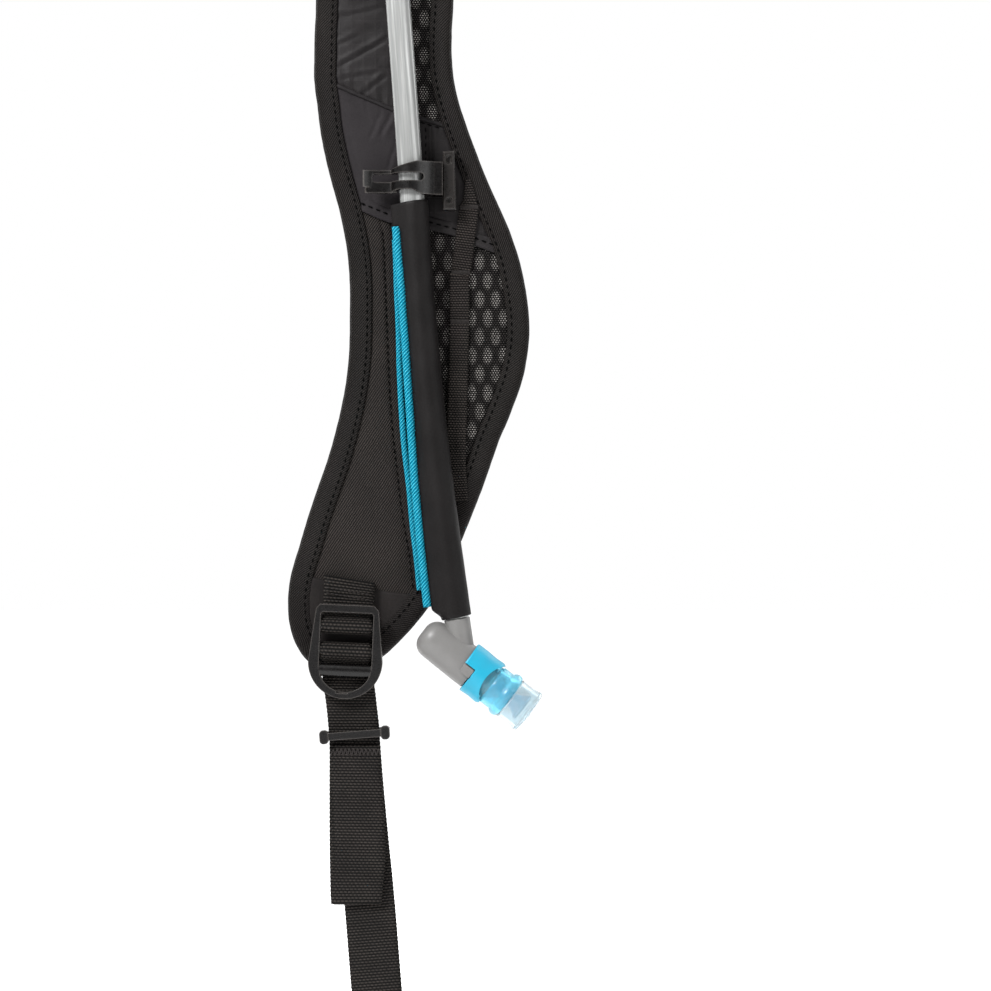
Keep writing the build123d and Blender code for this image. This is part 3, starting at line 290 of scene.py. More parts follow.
# ------------------------------------------------------------------ materials
class Shade:
    def __init__(self, name, color, rough=0.8, metal=0.0, spec=0.35, sheen=0.0, coat=0.0, trans=0.0, ior=1.45, sss=0.0, sheen_rough=0.4, cad=False):
        self.m = bpy.data.materials.new(name)
        self.m.use_nodes = True
        self.nt = self.m.node_tree
        self.b = self.nt.nodes["Principled BSDF"]
        self.set("Base Color", tuple(color) + (1.0,))
        self.set("Roughness", rough)
        self.set("Metallic", metal)
        self.set("Specular IOR Level", spec)
        self.set("IOR", ior)
        if sheen:
            self.set("Sheen Weight", sheen)
            self.set("Sheen Roughness", sheen_rough)
        if coat:
            self.set("Coat Weight", coat)
            self.set("Coat Roughness", 0.15)
        if trans:
            self.set("Transmission Weight", trans)
        if sss:
            self.set("Subsurface Weight", sss)
            self.set("Subsurface Radius", (0.004, 0.004, 0.004))
            self.set("Subsurface Scale", 1.0)
        if cad:
            tc = self.node("ShaderNodeTexCoord")
            sc = self.node("ShaderNodeVectorMath", operation="SCALE")
            sc.inputs["Scale"].default_value = 1000.0
            self.link(tc.outputs["Object"], sc.inputs[0])
            self.co = sc.outputs[0]
        else:
            at = self.node("ShaderNodeAttribute")
            at.attribute_name = "uvw"
            self.co = at.outputs["Vector"]
        sp = self.node("ShaderNodeSeparateXYZ")
        self.link(self.co, sp.inputs[0])
        self.x, self.y, self.z = sp.outputs[0], sp.outputs[1], sp.outputs[2]

    def set(self, k, v):
        self.b.inputs[k].default_value = v

    def node(self, t, **kw):
        n = self.nt.nodes.new(t)
        for k, v in kw.items():
            setattr(n, k, v)
        return n

    def link(self, a, b):
        self.nt.links.new(a, b)

    def f(self, op, *args, clamp=False):
        n = self.node("ShaderNodeMath", operation=op)
        n.use_clamp = clamp
        for i, a in enumerate(args):
            if isinstance(a, (int, float)):
                n.inputs[i].default_value = a
            else:
                self.link(a, n.inputs[i])
        return n.outputs[0]

    def add(self, a, b):
        return self.f("ADD", a, b)

    def sub(self, a, b):
        return self.f("SUBTRACT", a, b)

    def mul(self, a, b):
        return self.f("MULTIPLY", a, b)

    def wave(self, a, period):
        """0..1 rounded wave"""
        return self.f("MULTIPLY_ADD", self.f("SINE", self.mul(a, 2 * math.pi / period)), 0.5, 0.5)

    def noise(self, scale, detail=3.0, rough=0.5, co=None, dist=0.0):
        n = self.node("ShaderNodeTexNoise")
        n.inputs["Scale"].default_value = scale
        n.inputs["Detail"].default_value = detail
        n.inputs["Roughness"].default_value = rough
        n.inputs["Distortion"].default_value = dist
        self.link(co if co is not None else self.co, n.inputs["Vector"])
        return n.outputs["Fac"]

    def voronoi(self, scale, feature="F1", co=None, rnd=1.0):
        n = self.node("ShaderNodeTexVoronoi", feature=feature)
        n.inputs["Scale"].default_value = scale
        n.inputs["Randomness"].default_value = rnd
        self.link(co if co is not None else self.co, n.inputs["Vector"])
        return n.outputs["Distance"]

    def ramp(self, fac, stops):
        n = self.node("ShaderNodeValToRGB")
        e = n.color_ramp.elements
        e[0].position, e[0].color = stops[0][0], tuple(stops[0][1]) + (1,)
        e[1].position, e[1].color = stops[-1][0], tuple(stops[-1][1]) + (1,)
        for p, c in stops[1:-1]:
            k = e.new(p)
            k.color = tuple(c) + (1,)
        self.link(fac, n.inputs[0])
        return n.outputs["Color"]

    def mix(self, fac, a, b, kind="MIX"):
        n = self.node("ShaderNodeMix", data_type="RGBA", blend_type=kind)
        if isinstance(fac, (int, float)):
            n.inputs[0].default_value = fac
        else:
            self.link(fac, n.inputs[0])
        for i, v in ((6, a), (7, b)):
            if isinstance(v, (tuple, list)):
                n.inputs[i].default_value = tuple(v) + ((1,) if len(v) == 3 else ())
            else:
                self.link(v, n.inputs[i])
        return n.outputs[2]

    def color(self, c):
        self.link(c, self.b.inputs["Base Color"])

    def rough(self, r):
        self.link(r, self.b.inputs["Roughness"])

    def bump(self, h, dist=0.1, strength=1.0):
        """height in 0..1 times dist mm"""
        n = self.node("ShaderNodeBump")
        n.inputs["Strength"].default_value = strength
        n.inputs["Distance"].default_value = dist * S
        self.link(h, n.inputs["Height"])
        self.link(n.outputs["Normal"], self.b.inputs["Normal"])
        return self


def srgb(v):
    v = v / 255.0
    return v / 12.92 if v <= 0.04045 else ((v + 0.055) / 1.055) ** 2.4


def rgb(r, g, b, k=1.0):
    return tuple(srgb(c) * k for c in (r, g, b))


def fabric_webbing(name, dark, light, row=1.12, cell=1.5):
    m = Shade(name, dark, rough=0.6, spec=0.09)
    r = m.f("DIVIDE", m.y, row)
    rf = m.f("FLOOR", r)
    fr = m.f("FRACT", r)
    uu = m.add(m.f("DIVIDE", m.x, cell), m.mul(m.f("MODULO", rf, 2.0), 0.5))
    fu = m.f("FRACT", m.add(uu, 40.0))
    a = m.f("POWER", m.f("SINE", m.mul(fr, math.pi)), 1.5)
    b = m.f("POWER", m.f("SINE", m.mul(fu, math.pi)), 0.9)
    h = m.mul(a, m.f("MULTIPLY_ADD", b, 0.62, 0.38))
    fuzz = m.noise(2.0, 4)
    big = m.noise(0.08, 2)
    fac = m.mul(h, m.f("MULTIPLY_ADD", fuzz, 0.9, 0.45))
    m.color(m.ramp(m.mul(fac, m.f("MULTIPLY_ADD", big, 0.7, 0.65)), [(0.2, dark), (0.55, tuple(c * 0.4 for c in light)), (0.95, light)]))
    m.bump(m.add(h, m.mul(fuzz, 0.2)), 0.42, 1.0)
    return m.m


def fabric_twill(name, dark, light, angle=56.0, pitch=1.05, depth=0.3):
    m = Shade(name, dark, rough=0.6, spec=0.08)
    c, s = math.cos(angle * RAD), math.sin(angle * RAD)
    t = m.add(m.mul(m.x, s), m.mul(m.y, -c))
    w = m.add(m.mul(m.x, c), m.mul(m.y, s))
    wob = m.mul(m.noise(0.35, 2), 0.5)
    rib = m.wave(m.add(t, wob), pitch)
    knot = m.wave(m.add(w, m.mul(m.f("FLOOR", m.f("DIVIDE", m.add(t, wob), pitch)), 0.37)), 1.15)
    h = m.mul(rib, m.f("MULTIPLY_ADD", knot, 0.35, 0.65))
    fuzz = m.noise(2.5, 4)
    big = m.noise(0.05, 3)
    fac = m.mul(h, m.f("MULTIPLY_ADD", fuzz, 0.9, 0.3))
    m.color(m.ramp(m.mul(fac, m.f("MULTIPLY_ADD", big, 0.9, 0.6)), [(0.1, dark), (0.95, light)]))
    m.bump(m.add(h, m.mul(fuzz, 0.2)), depth, 0.9)
    return m.m


def fabric_ripstop(name, dark, light, fine=0.42, grid=4.6, wrinkle=0.5):
    m = Shade(name, dark, rough=0.5, spec=0.12)
    wv = m.mul(m.wave(m.x, fine), m.wave(m.y, fine))
    gx = m.f("POWER", m.wave(m.x, grid), 22.0)
    gy = m.f("POWER", m.wave(m.y, grid), 22.0)
    g = m.f("MAXIMUM", gx, gy)
    wr = m.noise(0.16, 3, 0.55, dist=0.6)
    fuzz = m.noise(3.0, 3)
    fac = m.add(m.mul(wv, 0.3), m.add(m.mul(g, 0.07), m.mul(m.add(wr, fuzz), 0.35)))
    m.color(m.ramp(fac, [(0.2, dark), (0.95, light)]))
    m.bump(m.add(m.add(m.mul(wv, 0.2), m.mul(g, 0.12)), m.add(m.mul(wr, 1.6 * wrinkle), m.mul(fuzz, 0.1))), 0.3, 0.7)
    return m.m


def fabric_plain(name, dark, light, fine=0.36, rough=0.72):
    m = Shade(name, dark, rough=rough, spec=0.1)
    wv = m.mul(m.wave(m.x, fine), m.wave(m.y, fine))
    fuzz = m.noise(1.6, 5)
    big = m.noise(0.07, 3)
    fac = m.add(m.mul(wv, 0.3), m.add(m.mul(fuzz, 0.35), m.mul(big, 0.4)))
    m.color(m.ramp(fac, [(0.2, dark), (0.95, light)]))
    m.bump(m.add(m.mul(wv, 0.5), m.mul(fuzz, 0.4)), 0.08, 0.8)
    return m.m


CELL_X, CELL_Y, CELL_A, CELL_B = 6.1, 14.4, 2.1, 3.75


def mesh_cell(x, y):
    """0 on the ridges to 1 in the middle of an oval dimple of the air mesh."""
    best = 0.0
    for ox, oy in ((0.0, 0.0), (CELL_X / 2, CELL_Y / 2)):
        u = (x - ox) / CELL_X
        v = (y - oy) / CELL_Y
        u, v = (u - round(u)) * CELL_X, (v - round(v)) * CELL_Y
        r = math.sqrt((u / CELL_A) ** 2 + (v / CELL_B) ** 2)
        best = max(best, 1.0 - r)
    return max(0.0, min(1.0, best * 2.2))


def fabric_mesh(name, dark, light):
    m = Shade(name, dark, rough=0.8, spec=0.05)
    best = None
    for ox, oy in ((0.0, 0.0), (CELL_X / 2, CELL_Y / 2)):
        u = m.f("DIVIDE", m.sub(m.x, ox), CELL_X)
        v = m.f("DIVIDE", m.sub(m.y, oy), CELL_Y)
        u = m.mul(m.sub(u, m.f("ROUND", u)), CELL_X / CELL_A)
        v = m.mul(m.sub(v, m.f("ROUND", v)), CELL_Y / CELL_B)
        r = m.f("SQRT", m.add(m.mul(u, u), m.mul(v, v)))
        k = m.f("MULTIPLY", m.sub(1.05, r), 2.2, clamp=True)
        best = k if best is None else m.f("MAXIMUM", best, k)
    row = m.f("DIVIDE", m.add(m.y, m.mul(m.noise(0.5, 2), 0.5)), 0.84)
    odd = m.mul(m.f("MODULO", m.f("FLOOR", m.add(row, 400.0)), 2.0), 0.5)
    col = m.add(m.f("DIVIDE", m.add(m.x, m.mul(m.noise(0.6, 2), 0.4)), 1.0), odd)
    knot = m.mul(m.f("POWER", m.f("SINE", m.mul(m.f("FRACT", m.add(row, 400.0)), math.pi)), 1.3),
                 m.f("POWER", m.f("SINE", m.mul(m.f("FRACT", m.add(col, 400.0)), math.pi)), 1.3))
    fuzz = m.noise(2.0, 4)
    body = m.ramp(m.mul(knot, m.f("MULTIPLY_ADD", fuzz, 1.0, 0.35)), [(0.1, dark), (0.9, rgb(46, 43, 42))])
    cell = m.ramp(m.mul(knot, m.f("MULTIPLY_ADD", fuzz, 1.3, 0.3)), [(0.2, rgb(14, 13, 13)), (0.55, rgb(70, 68, 66)), (0.95, light)])
    m.color(m.mix(m.mul(m.f("POWER", best, 1.1), m.f("MULTIPLY_ADD", m.noise(0.12, 2), 1.2, 0.2, clamp=True)), body, cell))
    m.bump(m.add(knot, m.mul(fuzz, 0.3)), 0.35, 1.0)
    return m.m


def plastic(name, base, rough=0.5, grain=0.05, tone=0.25, coat=0.0, cad=True, scale=3.0, spec=0.4, round_mm=0.0, edge=None):
    m = Shade(name, base, rough=rough, spec=spec, coat=coat, cad=cad)
    g = m.noise(scale, 4, 0.6)
    big = m.noise(0.25, 3)
    lo = tuple(c * (1 - tone) for c in base)
    hi = tuple(min(1.0, c * (1 + tone)) for c in base)
    tone = m.ramp(m.add(m.mul(g, 0.5), m.mul(big, 0.5)), [(0.3, lo), (0.7, hi)])
    if edge:
        # painted highlight: within the bevel radius the base colour is lightened towards the edge colour, standing in
        # for the light the rounded moulded edges catch
        near = m.node("ShaderNodeBevel", samples=12)
        near.inputs["Radius"].default_value = edge[0] * S
        geo = m.node("ShaderNodeNewGeometry")
        dot = m.node("ShaderNodeVectorMath", operation="DOT_PRODUCT")
        m.link(near.outputs["Normal"], dot.inputs[0])
        m.link(geo.outputs["Normal"], dot.inputs[1])
        edge_highlight_mask = m.f("MULTIPLY", m.sub(1.0, dot.outputs["Value"]), edge[1], clamp=True)
        tone = m.mix(edge_highlight_mask, tone, m.ramp(g, [(0.3, edge[2]), (0.7, tuple(c * 1.1 for c in edge[2]))]))
    m.color(tone)
    m.rough(m.f("MULTIPLY_ADD", m.add(g, m.mul(big, 0.6)), 0.28, max(0.05, rough - 0.2)))
    m.bump(g, grain, 0.7)
    if round_mm:
        soft = m.node("ShaderNodeBevel", samples=8)
        soft.inputs["Radius"].default_value = round_mm * S
        bump = [n for n in m.nt.nodes if n.type == "BUMP"][0]
        m.link(soft.outputs["Normal"], bump.inputs["Normal"])
    return m.m


BLACK = rgb(13, 11, 10)
M = {
    "webbing": fabric_webbing("webbing_weave", rgb(1, 1, 1), rgb(50, 46, 43)),
    "gear": fabric_webbing("gear_webbing_weave", rgb(0, 0, 0), rgb(54, 49, 46), row=0.95, cell=1.15),
    "twill": fabric_twill("twill_panel", rgb(6, 5, 5), rgb(52, 47, 44), pitch=0.84, depth=0.26),
    "binding": fabric_twill("binding_weave", rgb(1, 1, 1), rgb(39, 35, 33), angle=40, pitch=0.76, depth=0.24),
    "ripstop": fabric_ripstop("ripstop_panel", rgb(8, 7, 7), rgb(41, 38, 39)),
    "plain": fabric_plain("plain_panel", rgb(18, 16, 17), rgb(46, 43, 45)),
    "patch": fabric_plain("tip_patch_cloth", rgb(7, 6, 6), rgb(40, 36, 35), rough=0.5),
    "sleeve": fabric_plain("sleeve_knit", rgb(4, 3, 3), rgb(30, 28, 28), fine=0.5, rough=0.5),
    "mesh": fabric_mesh("air_mesh_knit", rgb(2, 2, 2), rgb(152, 148, 144)),
    # thread: near-black, the black thread's own colour darkened further as painted shade in the stitch holes
    "thread": plastic("thread", rgb(1, 1, 1), rough=0.7, cad=False, scale=2.0, spec=0.04),
    "tack": plastic("tack_thread", rgb(34, 31, 30), rough=0.55, cad=False, scale=2.0, spec=0.15),
    "thread_dark": plastic("thread_dark", rgb(16, 14, 13), rough=0.7, cad=False),
    # edge=(radius, gain, colour): the colour is a painted highlight laid on the moulded edges of these three blacks
    "black": plastic("moulded_black", rgb(6, 5, 5), rough=0.26, grain=0.008, tone=0.1, spec=0.3, scale=0.9, edge=(0.8, 5.5, rgb(58, 55, 53))),
    "clip": plastic("clip_black", rgb(6, 5, 5), rough=0.26, grain=0.008, tone=0.1, spec=0.28, scale=0.9, edge=(1.2, 3.0, rgb(60, 57, 55))),
    "spine": plastic("clip_spine_black", rgb(22, 20, 19), rough=0.28, grain=0.008, tone=0.1, spec=0.3, scale=0.9, edge=(0.8, 4.0, rgb(68, 65, 63))),
    "grey": plastic("moulded_grey", rgb(92, 91, 90), rough=0.42, grain=0.02, tone=0.08, round_mm=0.35),
    "cyan": plastic("moulded_cyan", rgb(8, 126, 152), rough=0.4, grain=0.015, tone=0.08, round_mm=0.3),
    "foam": plastic("closed_cell_foam", rgb(60, 60, 60), rough=0.9, grain=0.2, scale=1.2),
    "magnet": plastic("plated_steel", rgb(170, 170, 172), rough=0.3, grain=0.01),
    "rubber": plastic("black_rubber", rgb(24, 24, 24), rough=0.6, grain=0.02),
}


def piping_material(turns):
    """Twisted cord: x runs round the cord in turns, y along it in mm."""
    m = Shade("blue_cord_%d" % turns, rgb(0, 130, 180), rough=0.6, spec=0.05)
    wob = m.mul(m.noise(0.8, 3), 0.35)
    ph = m.add(m.mul(m.x, float(turns)), m.add(m.f("DIVIDE", m.y, 1.35), wob))
    strand = m.f("MULTIPLY_ADD", m.f("SINE", m.mul(ph, 2 * math.pi)), 0.5, 0.5)
    fibre = m.f("MULTIPLY_ADD", m.f("SINE", m.mul(ph, 8 * math.pi)), 0.5, 0.5)
    fuzz = m.noise(1.7, 4)
    fac = m.add(m.mul(m.f("POWER", strand, 3.0), 0.75), m.add(m.mul(fuzz, 0.25), m.mul(fibre, 0.06)))
    m.color(m.ramp(fac, [(0.05, rgb(0, 74, 94)), (0.42, rgb(0, 110, 136)), (0.7, rgb(0, 126, 150)), (0.92, rgb(84, 168, 180))]))
    m.bump(m.add(strand, m.mul(fibre, 0.2)), 0.3, 0.9)
    return m.m


def hose_material(streaked):
    m = Shade("clear_hose_streaked" if streaked else "clear_hose", rgb(128, 130, 129), rough=0.16, spec=0.6, coat=0.3, cad=not streaked)
    if streaked:
        c = m.node("ShaderNodeCombineXYZ")
        m.link(m.mul(m.x, 15.0), c.inputs[0])
        m.link(m.mul(m.y, 0.012), c.inputs[1])
        streak_and_highlight = m.noise(1.0, 4, 0.6, co=c.outputs[0])
    else:
        c = m.node("ShaderNodeCombineXYZ")
        m.link(m.mul(m.x, 0.42), c.inputs[0])
        m.link(m.mul(m.y, 0.42), c.inputs[1])
        m.link(m.mul(m.z, 0.012), c.inputs[2])
        streak_and_highlight = m.noise(1.0, 3, co=c.outputs[0])
    # painted highlight and painted shade: the Layer Weight facing ramp lays lighter and darker bands across the hose by
    # its angle to the view, standing in for its lengthwise highlights and darker edges
    lw = m.node("ShaderNodeLayerWeight")
    lw.inputs["Blend"].default_value = 0.3
    edge = m.ramp(lw.outputs["Facing"], [(0.0, rgb(122, 123, 122)), (0.3, rgb(110, 111, 110)), (0.5, rgb(92, 93, 92)), (0.72, rgb(104, 105, 104)), (0.9, rgb(74, 75, 74)), (1.0, rgb(108, 109, 108))])
    # the lengthwise streak noise is partly the milky hose's own streaks and partly painted highlight: its lightest
    # values stand in for bright lengthwise reflections
    tone = m.ramp(streak_and_highlight, [(0.34, rgb(80, 81, 80)), (0.5, rgb(116, 117, 116)), (0.64, rgb(172, 173, 172))])
    m.color(m.mix(0.5, edge, tone))
    m.bump(streak_and_highlight, 0.05, 0.5)
    return m.m


M["piping"] = piping_material(6)
M["dock"] = piping_material(5)
M["hose"] = hose_material(False)
M["hose_streaked"] = hose_material(True)


def clear(name, tint, rough=0.12, trans=0.85, ior=1.4):
    m = Shade(name, tint, rough=rough, trans=trans, ior=ior, spec=0.5, cad=True)
    n = m.noise(0.5, 3)
    m.color(m.ramp(n, [(0.3, tuple(c * 0.85 for c in tint)), (0.7, tint)]))
    m.bump(m.noise(1.5, 2), 0.02, 0.4)
    return m.m


M["blue_clear"] = clear("blue_translucent", rgb(120, 206, 228), rough=0.25, trans=0.8)
M["silicone"] = clear("clear_silicone", rgb(206, 222, 228), rough=0.14, trans=0.82, ior=1.3)
M["blue"] = plastic("moulded_blue", rgb(70, 156, 186), rough=0.3, grain=0.01, tone=0.1)


# ------------------------------------------------------------------ stitches
def stitch_list(points, lift, spacing=2.9, length=1.9, r=0.27, normal=None, phase=0.0):
    """Short thread humps along a line of 3-D points in metres; lift is the surface normal's direction at each."""
    p = np.array(points, float)
    s = np.concatenate([[0], np.cumsum(np.linalg.norm(np.diff(p, axis=0), axis=1))])
    parts = []
    t = (phase + spacing / 2) * S
    while t < s[-1] - length * S / 2:
        c = np.array([np.interp(t, s, p[:, k]) for k in range(3)])
        a = np.array([np.interp(t + 0.3 * S, s, p[:, k]) for k in range(3)])
        b = np.array([np.interp(t - 0.3 * S, s, p[:, k]) for k in range(3)])
        d = (a - b) / (np.linalg.norm(a - b) + 1e-12)
        i = min(len(lift) - 1, int(np.searchsorted(s, t)))
        nrm = np.array(lift[i], float)
        side = np.cross(d, nrm)
        side /= np.linalg.norm(side) + 1e-12
        nrm = np.cross(side, d)
        V = []
        for q, (along, rad, up) in enumerate(((-0.5, 0.12, -0.25), (-0.36, 0.8, 0.1), (0, 1.0, 0.35), (0.36, 0.8, 0.1), (0.5, 0.12, -0.25))):
            for k in range(6):
                w = 2 * math.pi * k / 6
                V.append(c + d * along * length * S + side * math.cos(w) * rad * r * S + nrm * (math.sin(w) * rad * r + up * r) * S)
        F = []
        for q in range(4):
            for k in range(6):
                l = (k + 1) % 6
                F.append((q * 6 + k, q * 6 + l, q * 6 + 6 + l, q * 6 + 6 + k))
        F.append(tuple(range(5, -1, -1)))
        F.append(tuple(range(24, 30)))
        parts.append((V, F, [tuple(x * 1000 for x in v) for v in V]))
        t += spacing * S
    return parts


def front_normal(d):
    if d >= -REF_DROP:
        return (0, -1, 0)
    a = min((-REF_DROP - d) / R_SH, A_SH * RAD)
    return (0, -math.cos(a), math.sin(a))


def sew(name, lines, mat, body="strap", **kw):
    """lines: lists of (x, d, n) on the strap's face."""
    parts = []
    for ln in lines:
        q = even([(x, d, n) for x, d, n in ln], step=0.8)
        pts = [P(x, d, n) for x, d, n in q]
        parts += stitch_list(pts, [front_normal(d) for x, d, n in q], **kw)
    V, F, U = join_lists(parts)
    o = fix_normals(mesh(name, V, F, M[mat], U))
    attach(o, body)
    return o


# ------------------------------------------------------------------ camera first
cam_data = bpy.data.cameras.new("camera")
cam = bpy.data.objects.new("camera", cam_data)
bpy.context.scene.collection.objects.link(cam)
cam_data.lens = 100.0
cam_data.sensor_width = 36.0
cam_data.clip_start = 0.01
cam_data.clip_end = 50.0
FRAME_MM = 381.5
DIST = FRAME_MM * 100.0 / 36.0
cam.location = ((495.5 - 384.5) * 0.385 * S, (YF - 5.0 - DIST) * S, (ZR - 495.5 * 0.385) * S)
cam.rotation_euler = (math.pi / 2, 0, 0)
bpy.context.scene.camera = cam

# ------------------------------------------------------------------ drink hose: held part and free tail
LINKS, LINK_L = 6, 26.7
LEAN0, LEANK = 3.6, 0.8
A_X, A_Z = 11.0, ZR - 77.0


def down_hose(s):
    """Centre (x, z) and lean of the docked hose, s mm below the clip."""
    n = max(1, int(abs(s) / 1.0))
    x, z = A_X, A_Z
    h = s / n
    for i in range(n):
        a = (LEAN0 + LEANK * ((i + 0.5) * h) / LINK_L) * RAD
        x += h * math.sin(a)
        z -= h * math.cos(a)
    return x, z, (LEAN0 + LEANK * s / LINK_L) * RAD


# the route's points, as in part.py, mm
HELD = [
    (11.838, HOSE_Y, -222.768), (9.55, HOSE_Y, -189.5), (5.9, HOSE_Y, -140.5), (2.7, HOSE_Y - 0.01, -99.0),
    (0.6, HOSE_Y, -55.258), (-2.2, -53.835, -23.502), (-5.0, -29.531, 0.802), (-6.3, -13.653, 7.379),
]
TAIL = [
    (-6.3, -13.653, 7.379), (-7.6, 2.225, 13.956), (-9.6, 30.351, 13.956), (-11.3, 50.566, 5.583), (-12.6, 66.038, -9.889), (-13.5, 74.411, -30.104),
    (-14.1, 75.2, -84.0), (-14.6, 76.1, -140.0), (-14.0, 75.1, -196.0), (-14.7, 74.3, -250.0), (-14.2, 75.0, -302.0), (-14.3, 75.2, -346.0),
]


def hose_curve(name, pts):
    cu = bpy.data.curves.new(name, "CURVE")
    cu.dimensions = "3D"
    sp = cu.splines.new("NURBS")
    sp.points.add(len(pts) - 1)
    for i, p in enumerate(pts):
        sp.points[i].co = (p[0] * S, p[1] * S, p[2] * S, 1.0)
    sp.order_u = 3
    sp.use_endpoint_u = True
    cu.resolution_u = 16
    cu.bevel_depth = 4.75 * S
    cu.bevel_resolution = 10
    cu.use_fill_caps = True
    cu.materials.append(M["hose"])
    o = bpy.data.objects.new(name, cu)
    bpy.context.scene.collection.objects.link(o)
    return o


def hose_tube(name, pts):
    guide = hose_curve(name + "_guide", pts)
    guide.data.bevel_depth = 0.0
    guide.data.resolution_u = 24
    bpy.context.view_layer.update()
    line = bpy.data.meshes.new_from_object(guide)
    co = np.array([v.co for v in line.vertices], float)
    bpy.data.meshes.remove(line)
    bpy.data.objects.remove(guide)
    co = even(co, 1.5 * S)
    t = np.gradient(co, axis=0)
    t /= np.linalg.norm(t, axis=1)[:, None]
    V, F, U = [], [], []
    m = 40
    for i in range(len(co)):
        side = np.array((1.0, 0, 0)) - t[i] * t[i][0]
        side /= np.linalg.norm(side)
        back = np.cross(side, t[i])
        for k in range(m + 1):
            w = 2 * math.pi * k / m
            V.append(tuple(co[i] + (back * math.cos(w) + side * math.sin(w)) * 4.75 * S))
            U.append((k / m, i * 1.5, 0.0))
    for i in range(len(co) - 1):
        for k in range(m):
            a = i * (m + 1) + k
            F.append((a, a + 1, a + m + 2, a + m + 1))
    return fix_normals(mesh(name, V, F, M["hose_streaked"], U))


held = hose_tube("drink_hose_held", HELD)
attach(held, "strap")
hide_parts("hose_upper")
tail = hose_curve("drink_hose_tail", TAIL)
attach(tail, "strap")
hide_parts("hose_tail")

# ------------------------------------------------------------------ front panels
BL, BR = sides(7.7)
HOSE_LINE = [(5.0, D_YOKE), (5.0, 0.0), (7.6, 44.0), (10.4, 86.4)]
SEAM_L = [(x_at(BL, 32.6), 32.6), (-1.0, 40.4), (7.6, 44.0)]
SEAM_R = [(7.6, 44.0), (13.1, 45.4), (x_at(BR, 48.6), 48.6)]
HEM_LEFT = [(x_at(BL, 80.6), 80.6), (1.9, 85.4), (10.4, 86.4)]
HEM_RIGHT = [(10.4, 86.4), (18.7, 88.6), (26.8, 90.7), (34.8, 94.3), (x_at(BR, 97.4), 97.4)]
DOCK = [(1.9, 85.4), (3.3, 92.4), (4.2, 112.0), (5.2, 136.0), (6.6, 161.7), (10.0, 194.0), (13.2, 225.0), (13.6, 229.0)]


def smooth(t):
    t = max(0.0, min(1.0, t))
    return t * t * (3 - 2 * t)


def crown(l, r, t, b, rise=0.5, reach=7.0, dip=0.5):
    m = min(l, r, t, b)
    return rise * smooth(m / reach) - dip * math.exp(-m / 1.1)


def crease(x, d, x0, d0, x1, d1, deep, w=0.75):
    """A sharp fold along a line, with a soft ridge beside it."""
    ax, ad = x1 - x0, d1 - d0
    L = math.hypot(ax, ad)
    u = ((x - x0) * ax + (d - d0) * ad) / (L * L)
    if u < -0.1 or u > 1.1:
        return 0.0
    e = ((x - x0) * ad - (d - d0) * ax) / L + 0.5 * n3(u * 4.0, x0)
    k = smooth((u + 0.1) / 0.3) * smooth((1.1 - u) / 0.3)
    return k * deep * (-math.exp(-(e / w) ** 2) + 0.7 * math.exp(-((e - 1.9 * w) / (1.6 * w)) ** 2))


CREASES = [(-18.2, 25.6, 0.5, 15.2, 0.75), (-18.5, 30.5, -2.0, 27.5, 0.35), (-10.0, 37.0, 1.0, 29.0, 0.5), (-17.5, 6.5, -1.0, 3.0, 0.3),
           (-18.5, -6.0, 2.0, -14.0, 0.4), (-20.0, 18.0, -9.0, 13.0, 0.3), (3.5, 42.0, -1.5, 52.0, 0.5), (-1.5, 43.5, -6.0, 54.0, 0.25), (6.0, 50.0, 1.0, 66.0, 0.3),
           (-19.0, -40.0, 1.0, -48.0, 0.35), (-19.0, -76.0, -3.0, -82.0, 0.35), (-20.0, -118.0, 2.0, -112.0, 0.35)]


def creases(x, d):
    return sum(crease(x, d, *c) for c in CREASES)


def h_shoulder(x, d, l, r, t, b):
    # puckers run across the panel from both long edges, and gather at the lower seam
    pk = 0.30 * n3(x * 0.10, d * 0.16, 1.0) + 0.22 * n3(x * 0.25, d * 0.5, 4.0) * math.exp(-min(l, r) / 7.0)
    pk += 0.5 * math.exp(-b / 5.0) * n3(x * 0.55, d * 0.1, 8.0)
    return crown(l, r, t, b, 0.45) + pk + creases(x, d) * smooth(min(l, r) / 2.0)


def h_chest(x, d, l, r, t, b):
    pk = 0.16 * n3(x * 0.09, d * 0.1, 11.0) + 0.3 * math.exp(-t / 4.0) * n3(x * 0.5, d * 0.1, 13.0)
    return crown(l, r, t, b, 0.4) + pk + creases(x, d) * smooth(min(l, t) / 2.0)


def h_twill(x, d, l, r, t, b):
    w = r - (3.9 - 1.4 * smooth((d - 190) / 30.0))
    pk = -0.28 * math.exp(-(w / 0.8) ** 2) + 0.14 * n3(x * 0.08, d * 0.07, 21.0) + 0.16 * math.exp(-min(l, r) / 3.5) * n3(x * 0.1, d * 0.45, 24.0)
    return crown(l, r, t, b, 0.35) + pk


def h_mesh(x, d, l, r, t, b):
    m = min(l, r, t, b)
    return crown(l, r, t, b, 0.35, dip=0.55) - 0.55 * mesh_cell(x, -d) * smooth(m / 2.5) + 0.12 * n3(x * 0.07, d * 0.07, 31.0)


